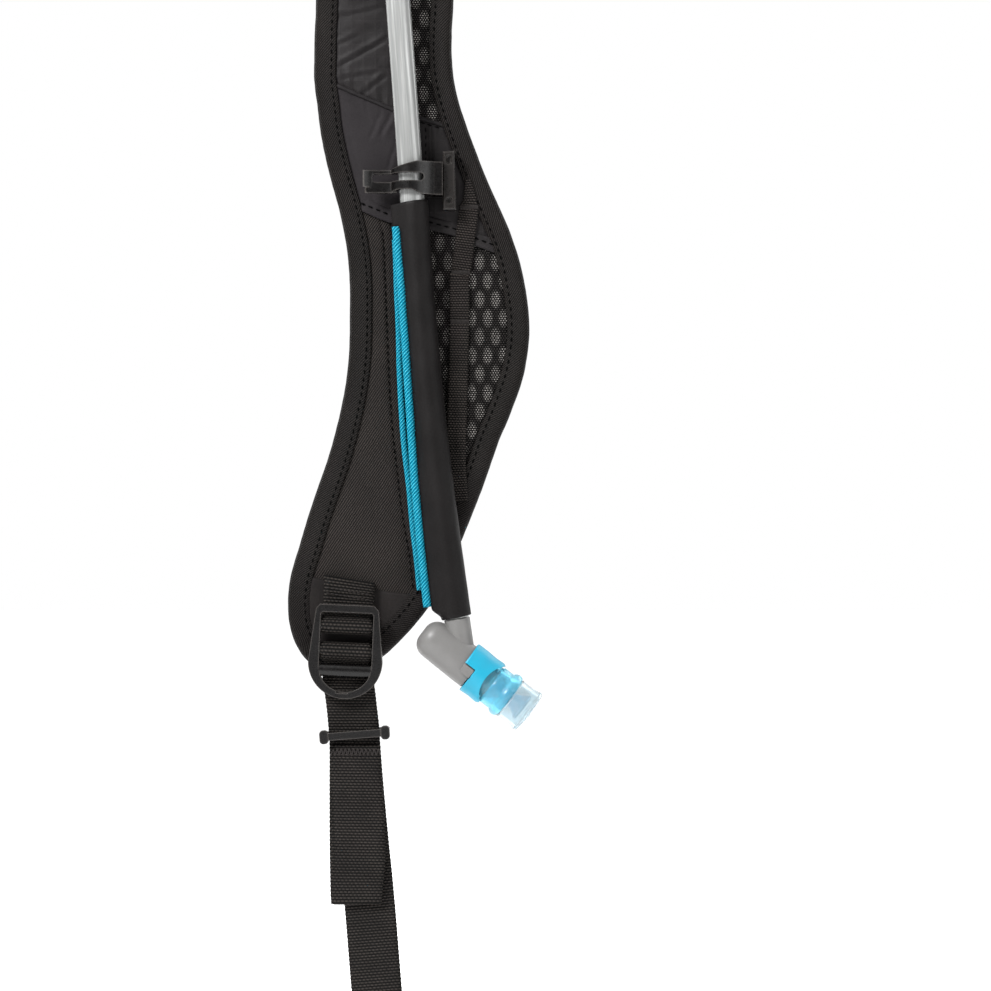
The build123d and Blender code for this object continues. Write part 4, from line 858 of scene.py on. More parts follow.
p1 = panel("shoulder_panel", "panel_shoulder", M["ripstop"], [(x_at(BL, D_YOKE), D_YOKE), (5.0, D_YOKE)], SEAM_L, cut(BL, D_YOKE, 32.6), [(5.0, D_YOKE), (5.0, 0.0), (7.6, 44.0)], h_shoulder, pitch=0.62)
p2 = panel("shoulder_mesh", "mesh_shoulder", M["mesh"], [(5.0, D_YOKE), (x_at(BR, D_YOKE), D_YOKE)], SEAM_R, [(5.0, D_YOKE), (5.0, 0.0), (7.6, 44.0)], cut(BR, D_YOKE, 48.6), h_mesh, pitch=0.6)
p3 = panel("chest_panel_left", "panel_chest_left", M["plain"], SEAM_L, HEM_LEFT, cut(BL, 32.6, 80.6), [(7.6, 44.0), (10.4, 86.4)], h_chest, pitch=0.62)
p4 = panel("chest_panel_right", "panel_chest_right", M["ripstop"], SEAM_R, HEM_RIGHT, [(7.6, 44.0), (10.4, 86.4)], cut(BR, 48.6, 97.4), h_chest)
_lowL, _lowR = sides(7.7)
TIP_L = cut(BL, 80.6, 244.0)
p5 = panel("lower_panel", "panel_lower", M["twill"], [(x_at(BL, 80.6), 80.6), (1.9, 85.4)], [(x_at(BL, 232.0), 232.0), (13.6, 232.0)], cut(BL, 80.6, 232.0), DOCK + [(13.6, 232.0)], h_twill)
p6 = panel("lower_mesh", "mesh_lower", M["mesh"], [(1.9, 85.4), (10.4, 86.4), (18.7, 88.6), (26.8, 90.7), (34.8, 94.3), (x_at(BR, 97.4), 97.4)], [(13.6, 229.0), (x_at(BR, 229.0), 229.0)], DOCK, cut(BR, 97.4, 229.0), h_mesh, pitch=0.55)


def h_patch(x, d, l, r, t, b):
    return 0.12 * n3(x * 0.1, d * 0.1, 41.0) - 0.25 * math.exp(-min(l, r, t, b) / 0.8)


_low = BL[:, 1].max() - 0.3
p7 = panel("tip_patch_cloth", "tip_patch", M["patch"],
           [(x_at(BL, 222.0), 222.0), (-21.4, 223.7), (-0.6, 227.6), (11.0, 228.9)],
           [(x_at(BL, _low), _low), (x_at(BR, _low), _low)],
           cut(BL, 222.0, _low), np.vstack([[(11.0, 228.9)], cut(BR, 232.0, _low)]), h_patch, base=4.6, back=3.9)

# ------------------------------------------------------------------ back lining, one crowned pad of air mesh
gl, gr = sides(7.7)
rows = np.concatenate([np.linspace(D_YOKE, 225, 380), 225 + (_low - 225) * np.sin(np.linspace(0, 1, 40)[1:] * math.pi / 2)])
fr, bk, uv = [], [], []
for d in rows:
    xl, xr = x_at(gl, d), x_at(gr, d)
    a, b, c = [], [], []
    for u in np.linspace(0, 1, 84):
        x = xl + (xr - xl) * u
        m = min(x - xl, xr - x, max(0.0, _low - d) * 1.2, max(0.0, d - D_YOKE) + 0.5)
        n = -4.0 - 0.55 * smooth(m / 9.0) + 0.5 * math.exp(-m / 1.1) + 0.5 * mesh_cell(x, -d) * smooth(m / 2.5)
        a.append(P(x, d, n))
        b.append(P(x, d, -2.8))
        c.append((x, -d, n))
    fr.append(a)
    bk.append(b)
    uv.append(c)
lining = shell("back_lining_pad", fr, bk, uv, M["mesh"])
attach(lining, "strap")
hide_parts("back_lining")

# ------------------------------------------------------------------ edge binding
prof = [(8.5, 4.05), (8.52, 4.45), (8.2, 4.72), (6.4, 4.8), (4.2, 4.74), (2.2, 4.5), (0.9, 3.95), (0.15, 2.9), (-0.08, 1.5), (-0.12, 0.0),
        (-0.08, -1.5), (0.15, -2.9), (0.9, -3.95), (2.2, -4.5), (4.2, -4.74), (6.4, -4.8), (8.2, -4.72), (8.52, -4.45), (8.5, -4.05)]
inner = [(7.9, -4.0), (4.2, -4.0), (2.2, -3.7), (1.1, -2.6), (0.8, 0.0), (1.1, 2.6), (2.2, 3.7), (4.2, 4.0), (7.9, 4.0)]
loop = prof + inner
arc = [0.0]
for a, b in zip(loop, loop[1:]):
    arc.append(arc[-1] + math.hypot(b[0] - a[0], b[1] - a[1]))
rings, uvw = [], []
run = 0.0
for i in range(len(EDGE)):
    if i:
        run += float(np.linalg.norm(EDGE[i] - EDGE[i - 1]))
    ring, ur = [], []
    pull = 0.10 * math.sin(run * 2 * math.pi / 2.9)
    wob = 0.18 * n3(run * 0.06, 3.3) + 0.08 * n3(run * 0.35, 7.7)
    for (w, n), al in zip(loop, arc):
        k = w + (wob if w < 1.5 else 0.5 * wob if w > 7.8 else 0)
        nn = n
        if 6.0 < w < 7.5 and abs(n) > 4.3:
            nn = n - math.copysign(0.2 + pull * 1.6, n)
        elif abs(n) > 4.3:
            nn = n + math.copysign(0.10 * n3(run * 0.22, w * 0.5, 5.0), n)
        q = EDGE[i] + EDGE_IN[i] * k
        ring.append(P(q[0], q[1], nn))
        ur.append((run, al, 0.0))
    rings.append(ring)
    uvw += ur
V, F = tube_rings(rings)
bind = fix_normals(mesh("edge_binding_tape", V, F, M["binding"], uvw))
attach(bind, "strap")
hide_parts("edge_binding")

in68 = inset(6.7)
keep = in68[:: 2]
sew("binding_stitches", [[(q[0], q[1], 4.62) for q in keep]], "thread", spacing=2.9, length=1.8, r=0.32)
line = [(q[0], q[1]) for q in keep]


def sew_back(name, pts, n):
    parts = stitch_list([P(x, d, n) for x, d in pts], [tuple(-c for c in front_normal(d)) for x, d in pts], spacing=2.9, length=1.9, r=0.24)
    V, F, U = join_lists(parts)
    o = fix_normals(mesh(name, V, F, M["thread"], U))
    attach(o, "strap")


sew_back("binding_stitches_back", line, -4.62)

# ------------------------------------------------------------------ lights, floor and world
def area(name, loc, target, size, power, color=(1, 1, 1)):
    l = bpy.data.lights.new(name, "AREA")
    l.energy = power
    l.size = size
    l.color = color
    o = bpy.data.objects.new(name, l)
    o.location = loc
    o.rotation_euler = (Vector(target) - Vector(loc)).to_track_quat("-Z", "Y").to_euler()
    bpy.context.scene.collection.objects.link(o)


area("key", (-0.7, -0.9, 0.55), (0, -0.05, -0.28), 0.4, 38)
area("fill", (1.2, -0.9, -0.1), (0, -0.05, -0.3), 0.8, 7)
area("rim_left", (-0.9, 0.8, 0.3), (0, -0.03, -0.25), 0.8, 7)
area("rim_right", (1.0, 0.7, 0.2), (0, -0.03, -0.25), 0.8, 7)
world = bpy.data.worlds.new("studio")
bpy.context.scene.world = world
world.use_nodes = True
bg = world.node_tree.nodes["Background"]
bg.inputs[0].default_value = (1.0, 1.0, 1.0, 1.0)
bg.inputs[1].default_value = 1.0
wt = world.node_tree
dim = wt.nodes.new("ShaderNodeBackground")
wco = wt.nodes.new("ShaderNodeTexCoord")
wsp = wt.nodes.new("ShaderNodeSeparateXYZ")
wrp = wt.nodes.new("ShaderNodeValToRGB")
wt.links.new(wco.outputs["Generated"], wsp.inputs[0])
wma = wt.nodes.new("ShaderNodeMath")
wma.operation = "MULTIPLY_ADD"
wma.inputs[1].default_value = 0.3
wt.links.new(wsp.outputs[1], wma.inputs[0])
wt.links.new(wsp.outputs[2], wma.inputs[2])
wt.links.new(wma.outputs[0], wrp.inputs[0])
wrp.color_ramp.elements[0].position, wrp.color_ramp.elements[0].color = 0.0, (0.3, 0.3, 0.3, 1)
wrp.color_ramp.elements[1].position, wrp.color_ramp.elements[1].color = 0.8, (1.35, 1.35, 1.35, 1)
wt.links.new(wrp.outputs[0], dim.inputs[0])
wlp = wt.nodes.new("ShaderNodeLightPath")
wmx = wt.nodes.new("ShaderNodeMixShader")
wt.links.new(wlp.outputs["Is Camera Ray"], wmx.inputs[0])
wt.links.new(dim.outputs[0], wmx.inputs[1])
wt.links.new(bg.outputs[0], wmx.inputs[2])
wt.links.new(wmx.outputs[0], wt.nodes["World Output"].inputs[0])
bpy.context.scene.view_settings.view_transform = "Standard"

fm = Shade("pale_floor", (0.9, 0.9, 0.9), rough=0.9, cad=True)
fm.color(fm.ramp(fm.noise(0.02, 2), [(0.3, (0.985, 0.985, 0.985)), (0.7, (1.0, 1.0, 1.0))]))
fl = mesh("floor", [(-6, -6, -0.62), (6, -6, -0.62), (6, 6, -0.62), (-6, 6, -0.62)], [(0, 1, 2, 3)], fm.m, smooth=False)


# ------------------------------------------------------------------ piping and sleeve
def tube_open(name, centers, frames, radius, mat, uv_of, m=20, caps=(False, False)):
    """Tube with a doubled seam, so that the stripes' angle runs clean; frames give (side, front) unit vectors."""
    V, U, F = [], [], []
    for i, (c, (sx, fx)) in enumerate(zip(centers, frames)):
        for k in range(m + 1):
            w = 2 * math.pi * k / m
            r = radius(i, w)
            V.append(tuple(c[j] + (sx[j] * math.cos(w) + fx[j] * math.sin(w)) * r * S for j in range(3)))
            U.append(uv_of(i, k / m))
    n = len(centers)
    for i in range(n - 1):
        for k in range(m):
            a = i * (m + 1) + k
            F.append((a, a + 1, a + m + 2, a + m + 1))
    for end, on in ((0, caps[0]), (n - 1, caps[1])):
        if on:
            c = centers[end]
            b = len(V)
            V.append(tuple(c))
            U.append(uv_of(end, 0.0))
            for k in range(m):
                q = (end * (m + 1) + k, end * (m + 1) + k + 1, b)
                F.append(q if end else q[::-1])
    return V, F, U


def straight_frames(pts):
    """(side, front) for a run on the strap's flat part, front towards the viewer."""
    p = np.array(pts)
    t = np.gradient(p, axis=0)
    t /= np.linalg.norm(t, axis=1)[:, None]
    out = []
    for v in t:
        side = np.cross(v, (0, 1, 0))
        side /= np.linalg.norm(side)
        out.append((tuple(side), (0.0, -1.0, 0.0)))
    return out


PIPE = [(4.1, 92.4), (5.0, 112.0), (5.8, 136.0), (6.9, 161.7), (10.2, 194.0), (13.7, 227.2)]
path = dense(PIPE, 1.0)
cen = [P(x + 0.08 * math.sin(d * 0.21), d, 5.28) for x, d in path]
V, F, U = tube_open("dock", cen, straight_frames(cen), lambda i, w: 1.27 + 0.05 * n3(i * 0.2, w), M["dock"], lambda i, t: (t, -i * 1.0, 0.0), caps=(True, True))
dock = mesh("dock_piping_cord", V, F, M["dock"], U)
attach(dock, "strap")
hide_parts("dock_piping")

LAST = LINKS * LINK_L


def hose_point(s, lx, ly):
    """World point at s mm below the clip, lx across (left is negative) and ly forward of the hose's centre."""
    x, z, a = down_hose(s)
    return ((x + lx * math.cos(a)) * S, (HOSE_Y - ly) * S, (z + lx * math.sin(a)) * S)


def zone_steps(s0, s1, step):
    n = max(2, int(round((s1 - s0) / step)) + 1)
    return np.linspace(s0, s1, n)


def pipe_off(s):
    """Distance of the piping's centre from the hose's centre, s mm below the clip."""
    return float(np.interp(s, [0.0, 6.7, 26.7, 53.4, 80.0, 107.0, 133.5, 153.5, 160.2], [-7.2, -7.1, -6.7, -6.9, -7.8, -9.0, -9.85, -10.45, -10.6]))


# outline of the sleeve: round on the right, drawn in to the piping on the left
def sleeve_section(L, m=56):
    pts = []
    R, r = 5.75, 1.3
    for k in range(m):
        w = 2 * math.pi * k / m
        dx, dy = math.cos(w), math.sin(w)
        best = 0.0
        # support of the hull of two circles, walked by angle
        best = max(R, L * dx + r)
        pts.append((dx, dy, best))
    hull = []
    for k in range(m):
        dx, dy, h = pts[k]
        dx2, dy2, h2 = pts[(k + 1) % m]
        det = dx * dy2 - dy * dx2
        hull.append(((h * dy2 - h2 * dy) / det, (h2 * dx - h * dx2) / det))
    arr = np.vstack([hull, hull[:1]])
    return even(arr, count=m + 1)[:-1]


SEC_N = 56
SEC_KEY = np.linspace(-12.0, -6.5, 23)
SEC_ALL = np.array([sleeve_section(v + 2.65, SEC_N) for v in SEC_KEY])
SEC_RUN = np.concatenate([[0], np.cumsum(np.linalg.norm(np.diff(SEC_ALL[10], axis=0), axis=1))])


def sleeve_point(k, s):
    off = pipe_off(min(max(s, 0.0), LAST)) - 2.7 * (1 - smooth((s - 8.5) / 4.0)) + 3.6 * smooth((s - LAST + 5.0) / 5.0)
    v = (off - SEC_KEY[0]) / (SEC_KEY[1] - SEC_KEY[0])
    i = int(max(0, min(len(SEC_KEY) - 2, math.floor(v))))
    x, y = SEC_ALL[i, k] + (SEC_ALL[i + 1, k] - SEC_ALL[i, k]) * (v - i)
    r = math.hypot(x, y)
    ux, uy = x / r, y / r
    t = s / LAST
    # creases from the seam on the left, a soft flattening along the front, tighter at both ends
    a = 0.16 * n3(s * 0.10, y * 0.35, 3.0) + 0.10 * n3(s * 0.33, y * 0.25 + 5.0, 9.0) * smooth((-x - 1.0) / 4.0)
    a += 0.28 * math.exp(-s / 5.0) * n3(y * 0.7, x * 0.5, 2.0)
    a += 0.22 * math.exp(-(LAST - s) / 6.0) * n3(y * 0.6, x * 0.6, 6.0)
    a -= 0.10 * math.sin(math.pi * t)
    return x + ux * a, y + uy * a


def top_cut(x):
    """The sleeve's upper edge rises to the right."""
    return 1.7 - 0.075 * x


for k in range(1, LINKS + 1):
    s0, s1 = (k - 1) * LINK_L, k * LINK_L
    ss = zone_steps(s0, s1, 1.05)
    rings, U = [], []
    for s in ss:
        ring = []
        for j in range(SEC_N):
            x, y = sleeve_point(j, s)
            e = s
            if k == 1:
                e = s + top_cut(x) * (1 - s / LINK_L)
            if k == LINKS:
                e = s + (0.9 - 0.06 * x) * smooth((s - s0) / LINK_L)
            ring.append(hose_point(e, x, y))
            U.append((SEC_RUN[j], -e, 0.0))
        rings.append(ring)
    if k in (1, LINKS):
        # turned hem: the edge folds in to a thin lip round the hose
        order = 0 if k == 1 else -1
        s_edge = ss[order]
        lips = []
        for dep, shrink in ((0.25, 0.35), (0.2, 0.65), (-0.6, 0.8), (-6.0, 0.82)):
            ring = []
            for j in range(SEC_N):
                x, y = sleeve_point(j, s_edge)
                r = math.hypot(x, y)
                f = (r - shrink) / r
                e = s_edge + (top_cut(x) if k == 1 else (0.9 - 0.06 * x)) - (dep if k == 1 else -dep)
                ring.append(hose_point(e, x * f, y * f))
            lips.append(ring)
        rings = (lips[::-1] + rings) if k == 1 else (rings + lips)
        U = [(SEC_RUN[j], -s_edge, 0.0) for j in range(SEC_N)] * 4 + U if k == 1 else U + [(SEC_RUN[j], -s_edge, 0.0) for j in range(SEC_N)] * 4
    V, F = tube_rings(rings, cap=False)
    o = fix_normals(mesh("sleeve_zone_%d" % k, V, F, M["sleeve"], U))
    a, b = ("strap" if k == 1 else "hose_%d" % (k - 1)), "hose_%d" % k
    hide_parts(*(["sleeve_link_0", "sleeve_link_1"] if k == 1 else ["sleeve_link_%d" % k]))
    hose_point(s0, 0, 0)
    hose_point(s1, 0, 0)
    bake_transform(o)

    # piping on the sleeve's left edge
    ps = zone_steps(max(s0, 10.6), min(s1, LAST - 4.4), 1.0)
    cen = [hose_point(s, pipe_off(s) + 0.1 * n3(s * 0.07, 1.0), 1.2 * smooth((70.0 - s) / 40.0)) for s in ps]
    fr = []
    for s in ps:
        aa = down_hose(s)[2]
        fr.append(((math.cos(aa), 0.0, math.sin(aa)), (0.0, -1.0, 0.0)))
    V, F, U = tube_open("p", cen, fr, lambda i, w: 1.62, M["piping"], lambda i, t: (t, -float(ps[i]), 1.0), caps=(k == 1, k == LINKS))
    o = mesh("sleeve_piping_%d" % k, V, F, M["piping"], U)
    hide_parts(*(["piping_link_0", "piping_link_1"] if k == 1 else ["piping_link_%d" % k]))
    hose_point(s0, 0, 0)
    hose_point(s1, 0, 0)
    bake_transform(o)

    # the hose itself inside the sleeve
    h0, h1 = (12.0 if k == 1 else s0), (LAST + 1.4 if k == LINKS else s1)
    rings = []
    for s in zone_steps(h0, h1, 2.2):
        rings.append([hose_point(s, 4.75 * math.cos(w), 4.75 * math.sin(w)) for w in np.linspace(0, 2 * math.pi, 36, endpoint=False)])
    V, F = tube_rings(rings, cap=True)
    o = fix_normals(mesh("inner_hose_%d" % k, V, F, M["hose"]))
    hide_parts("hose_link_%d" % k)
    hose_point(s0, 0, 0)
    hose_point(s1, 0, 0)
    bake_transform(o)

# ------------------------------------------------------------------ hems, seams and bar-tacks
def strip(name, path, prof, mat, body="strap", lift=0.0, wob=0.06, side=1):
    """Closed strip swept along an (x, d) path; prof is (w, n), w up from the path."""
    p = dense(path, 0.9) if len(path) > 2 else even(path, 0.9)
    t = np.gradient(p, axis=0)
    t /= np.linalg.norm(t, axis=1)[:, None]
    up = np.stack([t[:, 1], -t[:, 0]], 1) * side
    rings, U = [], []
    run = 0.0
    total = float(np.sum(np.linalg.norm(np.diff(p, axis=0), axis=1)))
    for i in range(len(p)):
        if i:
            run += float(np.linalg.norm(p[i] - p[i - 1]))
        ring = []
        k = smooth(min(run + 0.1, total - run + 0.1) / 2.6)
        for w, n in prof:
            q = p[i] + up[i] * (w + wob * n3(run * 0.3, w, 2.0))
            nn = 3.85 + (n - 3.85) * (0.35 + 0.65 * k) + (0.14 * n3(run * 0.35, w * 0.6, 4.0) if n > 4.1 else 0) * k
            ring.append(P(q[0], q[1], nn + lift))
            U.append((run, w + n, 0.0))
        rings.append(ring)
    V, F = tube_rings(rings)
    o = fix_normals(mesh(name, V, F, mat, U))
    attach(o, body)
    return o


HEM = [(-0.1, 3.9), (-0.35, 4.3), (-0.1, 4.75), (0.5, 4.92), (1.6, 4.78), (2.6, 4.55), (3.4, 4.62), (4.6, 4.5), (5.0, 4.2), (4.6, 3.9)]
hl = strip("hem_left_fold", HEM_LEFT, HEM, M["plain"], side=1)
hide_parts("hem_left")
hr = strip("hem_right_fold", HEM_RIGHT, HEM, M["ripstop"], side=1)
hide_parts("hem_right")
sew("hem_stitches", [[(x, d - 2.7, 4.66) for x, d in even(HEM_LEFT, 1.0)], [(x, d - 2.7, 4.66) for x, d in even(HEM_RIGHT, 1.0)]], "thread", spacing=3.1, length=2.0, r=0.32)

SEAM = [(-0.5, 3.8), (-0.6, 4.1), (-0.2, 4.42), (0.4, 4.5), (0.9, 4.3), (1.1, 3.8)]
for nm, line, mat in (("shoulder_seam_fold", SEAM_L, "ripstop"), ("shoulder_mesh_fold", SEAM_R, "ripstop"),
                      ("chest_seam_fold", [(16.9, 48.0), (17.3, 60.0), (18.0, 75.0)], "ripstop")):
    o = strip(nm, line, SEAM, M[mat], side=1)
sew("seam_stitches", [
    [(x - 3.9 + 1.4 * smooth((d - 190) / 30.0), d, 4.36) for x, d in even(dense(DOCK, 1.0)[3:-2], 1.0)],
    [(15.9, d, 4.33) for d in np.arange(48.5, 76.0, 1.0)],
    [(x, d + 1.3, 4.1) for x, d in even(SEAM_R, 1.0)],
], "thread", spacing=2.9, length=1.9, r=0.23)


def ribbon(name, rows, half, thick, mat, body, cols=14, rib=0.0, edge=0.35, cap=True):
    """Webbing. rows: list of (centre, across, normal) in mm world units."""
    rings, U = [], []
    run = 0.0
    us = np.linspace(-1, 1, cols)
    for i, (c, ax, nm) in enumerate(rows):
        c, ax, nm = np.array(c), np.array(ax), np.array(nm)
        if i:
            run += float(np.linalg.norm(c - np.array(rows[i - 1][0])))
        h = half(run) if callable(half) else half
        jag = 0.09 * math.sin(run * 2 * math.pi / 1.76)
        top, bot = [], []
        for u in us:
            t = thick / 2 * (1.0 if abs(u) < 0.93 else edge + 0.25)
            lift = 0.0
            w = h + (jag if abs(u) > 0.93 else 0)
            top.append(tuple((c + ax * u * w + nm * (t + lift)) * S))
            bot.append(tuple((c + ax * u * w - nm * t) * S))
        rings.append(top + bot[::-1])
        U += [(u * h, run, 0.0) for u in us] + [(u * h, run, 0.0) for u in us[::-1]]
    V, F = tube_rings(rings, cap=cap)
    o = fix_normals(mesh(name, V, F, mat, U))
    if body:
        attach(o, body)
    return o


def path_frames(pts, across):
    """rows for ribbon from centre points (mm) and an across direction for each."""
    p = np.array(pts, float)
    t = np.gradient(p, axis=0)
    rows = []
    for c, v, a in zip(p, t, across):
        v = v / np.linalg.norm(v)
        a = np.array(a, float)
        a = a - v * float(a @ v) * 0.0
        a /= np.linalg.norm(a)
        n = np.cross(a, v)
        n /= np.linalg.norm(n)
        rows.append((c, a, n))
    return rows


def Pm(x, d, n):
    return tuple(c / S for c in P(x, d, n))


GEAR = [(32.2, 69.0), (32.6, 73.0), (32.8, 77.8), (32.4, 81.0), (29.7, 103.2), (28.9, 107.0), (28.9, 124.0), (27.6, 173.0), (28.4, 193.3)]
TACKS = [79.8, 105.0, 124.0, 193.3]
g = dense(GEAR, 0.9)


def gear_lift(d):
    t = [66.0] + TACKS
    for a, b in zip(t, t[1:]):
        if a <= d <= b:
            u = (d - a) / (b - a)
            return 0.55 * math.sin(math.pi * u) ** 0.7 if b - a > 16 else 0.25 * math.sin(math.pi * u)
    return 0.0


pts = [Pm(x, d, 4.75 + gear_lift(d)) for x, d in g]
across = []
tg = np.gradient(g, axis=0)
for v in tg:
    v = v / np.linalg.norm(v)
    across.append((v[1], 0.0, v[0]))
gear = ribbon("gear_webbing_strip", path_frames(pts, across), lambda run: float(np.interp(run, [0.0, 4.0, 9.2, 10.4], [0.9, 1.8, 2.9, 3.75])), 1.0, M["gear"], "strap")
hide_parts("gear_webbing")
tk = []
for d0 in TACKS[:-1]:
    x0 = float(np.interp(d0, g[:, 1], g[:, 0]))
    for q in range(15):
        u = -3.3 + q * 0.47
        ln = [P(x0 + u, d0 - 1.0, 5.35), P(x0 + u + 0.2, d0 + 1.0, 5.35)]
        tk += stitch_list(ln, [(0, -1, 0)], spacing=1.9, length=1.9, r=0.2)
V, F, U = join_lists(tk)
o = fix_normals(mesh("gear_bar_tacks", V, F, M["tack"], U))
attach(o, "strap")

# ------------------------------------------------------------------ hose loops, elastic tape over the hose
for nm, node, deg, x0 in (("loop_tape_shoulder", "hose_loop_shoulder", 22.5, -0.8), ("loop_tape_yoke", "hose_loop_yoke", 67.5, -6.3)):
    dc = -(REF_DROP + R_SH * deg * RAD)
    sec = [(x0 - 8.4, 4.75), (x0 - 7.6, 4.85), (x0 - 6.6, 5.6), (x0 - 6.05, 8.2)]
    for w in np.linspace(math.pi - 0.35, 0.35, 17):
        sec.append((x0 + 6.05 * math.cos(w), HOSE_N + 6.05 * math.sin(w)))
    sec += [(x0 + 6.05, 8.2), (x0 + 6.6, 5.6), (x0 + 7.6, 4.85), (x0 + 8.4, 4.75)]
    sec = dense(sec, 0.7)
    t = np.gradient(sec, axis=0)
    t /= np.linalg.norm(t, axis=1)[:, None]
    nr = np.stack([-t[:, 1], t[:, 0]], 1)
    rings, U = [], []
    run = 0.0
    for i in range(len(sec)):
        if i:
            run += float(np.linalg.norm(sec[i] - sec[i - 1]))
        outer = sec[i] + nr[i] * 0.32
        inn = sec[i] - nr[i] * 0.32
        ring, us = [], np.linspace(-7, 7, 15)
        for u in us:
            e = 0.5 if abs(u) > 6.6 else 1.0
            q = sec[i] + nr[i] * 0.32 * e
            ring.append(P(q[0], dc + u + 0.15 * n3(run * 0.3, u), q[1]))
        for u in us[::-1]:
            e = 0.5 if abs(u) > 6.6 else 1.0
            q = sec[i] - nr[i] * 0.32 * e
            ring.append(P(q[0], dc + u + 0.15 * n3(run * 0.3, u), q[1]))
        rings.append(ring)
        U += [(u, run, 0.0) for u in us] + [(u, run, 0.0) for u in us[::-1]]
    V, F = tube_rings(rings)
    o = fix_normals(mesh(nm, V, F, M["gear"], U))
    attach(o, "strap")
    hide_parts(node)
    sew(nm + "_stitches", [[(x0 - 7.7, dc + u, 5.05) for u in np.arange(-6.2, 6.3, 0.8)], [(x0 + 7.7, dc + u, 5.05) for u in np.arange(-6.2, 6.3, 0.8)]], "thread", spacing=2.2, length=1.6, r=0.22)

# ------------------------------------------------------------------ buckle webbing, side-section paths
BX, BN_, BZ = -14.1, 11.0, ZR - 240.9
TILT = 2.5 * RAD
XB = np.array((math.cos(TILT), 0.0, -math.sin(TILT)))
DB = np.array((-math.sin(TILT), 0.0, -math.cos(TILT)))


def in_buckle(f, t):
    return np.array((BX, YF - BN_ - f, BZ)) + DB * t


WEB_HALF, WEB_T = 9.7, 1.5
tabp = [(-5.5, -17.8), (-5.5, -12.0), (-5.4, -7.0), (-4.9, -3.6), (-3.6, -0.4), (-2.1, 1.2), (-0.6, 2.15), (1.0, 2.0), (2.08, 0.8),
        (2.15, -0.7), (1.5, -1.75), (0.2, -2.75), (-1.8, -4.3), (-3.3, -5.9), (-3.95, -8.0), (-4.0, -12.0), (-4.0, -17.6)]
tp = dense(tabp, 0.5)
cpts = [in_buckle(f, t) for f, t in tp]
rows = path_frames(cpts, [XB] * len(cpts))
tab = ribbon("tab_webbing_loop", rows, WEB_HALF, WEB_T, M["webbing"], None)
me = tab.data
co = np.array([v.co for v in me.vertices]) / S
for i, v in enumerate(me.vertices):
    # the sewn ends are cut on a slant
    rel = co[i] - np.array((BX, 0, BZ))
    t = float(rel @ DB)
    u = float(rel @ XB)
    if t < -8.0:
        k = (-8.0 - t) / 9.8
        nt = t + k * (0.122 * u - 0.2)
        v.co = Vector(tuple((co[i] + DB * (nt - t)) * S))
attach(tab, "strap")
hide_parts("tab_webbing")
rowsn = []
for off in (0.0, 2.1):
    rowsn.append([(x, 226.2 + off + (x + 21.5) * 0.165, 7.85) for x in np.arange(-22.4, -4.6, 0.8)])
sew("tab_tack_rows", rowsn, "tack", spacing=1.7, length=1.5, r=0.26)

WP = [
    (-4.05, 425, 0.7, 0.08), (-4.05, 400, -1.25, 0.08), (-4.05, 376, -3.3, 0.08), (-4.05, 354.2, -5.05, 0.08), (-4.05, 338, -6.5, 0.08), (-4.05, 323, -8.05, 0.08),
    (-4.05, 300, -10.2, 0.06), (-4.05, 281, -11.65, 0.02), (-4.05, 268, -12.9, -0.02), (-3.8, 259, -14.0, -0.04), (-2.8, 253.2, -14.35, -0.0436), (-2.25, 250.3, -14.45, -0.0436),
    (-1.6, 248.4, -14.42, -0.0436), (0, 247.7, -14.4, -0.0436), (1.6, 248.4, -14.42, -0.0436), (2.2, 250.0, -14.48, -0.0436), (1.75, 251.7, -14.5, -0.0436),
    (0.5, 253.0, -14.5, -0.0436), (-1.0, 254.4, -14.5, -0.04), (-2.05, 257.0, -14.3, -0.03), (-2.35, 262, -13.8, -0.02), (-2.35, 272, -12.4, 0.0), (-2.35, 284, -11.3, 0.0),
    (-2.35, 305, -11.25, 0.0), (-2.35, 325, -11.2, 0.0), (-2.35, 342.5, -10.9, 0.0), (-2.15, 345.6, -10.7, 0.0), (-1.5, 346.9, -10.6, 0.0), (-0.85, 345.6, -10.5, 0.0),
    (-0.65, 342.5, -10.2, 0.0), (-0.5, 330.3, -9.2, -0.01), (-0.55, 318, -9.4, -0.01), (-0.6, 305, -10.1, -0.01), (-0.65, 292.2, -10.8, -0.01), (-0.65, 286.6, -11.0, -0.01),
]
wp = dense(WP, 0.6)
pts, acr = [], []
for f, d, xc, sl in wp:
    pts.append((xc, YF - BN_ - f, ZR - d))
    acr.append((1.0, 0.0, sl))
adj = ribbon("adjust_webbing_strip", path_frames(pts, acr), 9.68, WEB_T, M["webbing"], "webbing")
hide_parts("adjust_webbing")

# zigzag tack across the folded end
zz = []
n = 25
zp = [(-20.2 + 18.9 * i / (n - 1), 287.6 if i % 2 else 290.4) for i in range(n)]
zz = even(zp, 0.35)
cen = [(x * S, (YF - 10.35 - 0.75 - 0.14) * S, (ZR - d) * S) for x, d in zz]
fr = straight_frames(cen)
V, F, U = tube_open("z", cen, fr, lambda i, w: 0.27, M["tack"], lambda i, t: (float(zz[i][0]), float(-zz[i][1]), t), m=6, caps=(True, True))
zig = mesh("tail_tack_zigzag", V, F, M["tack"], U)
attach(zig, "webbing")
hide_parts("tail_tack")

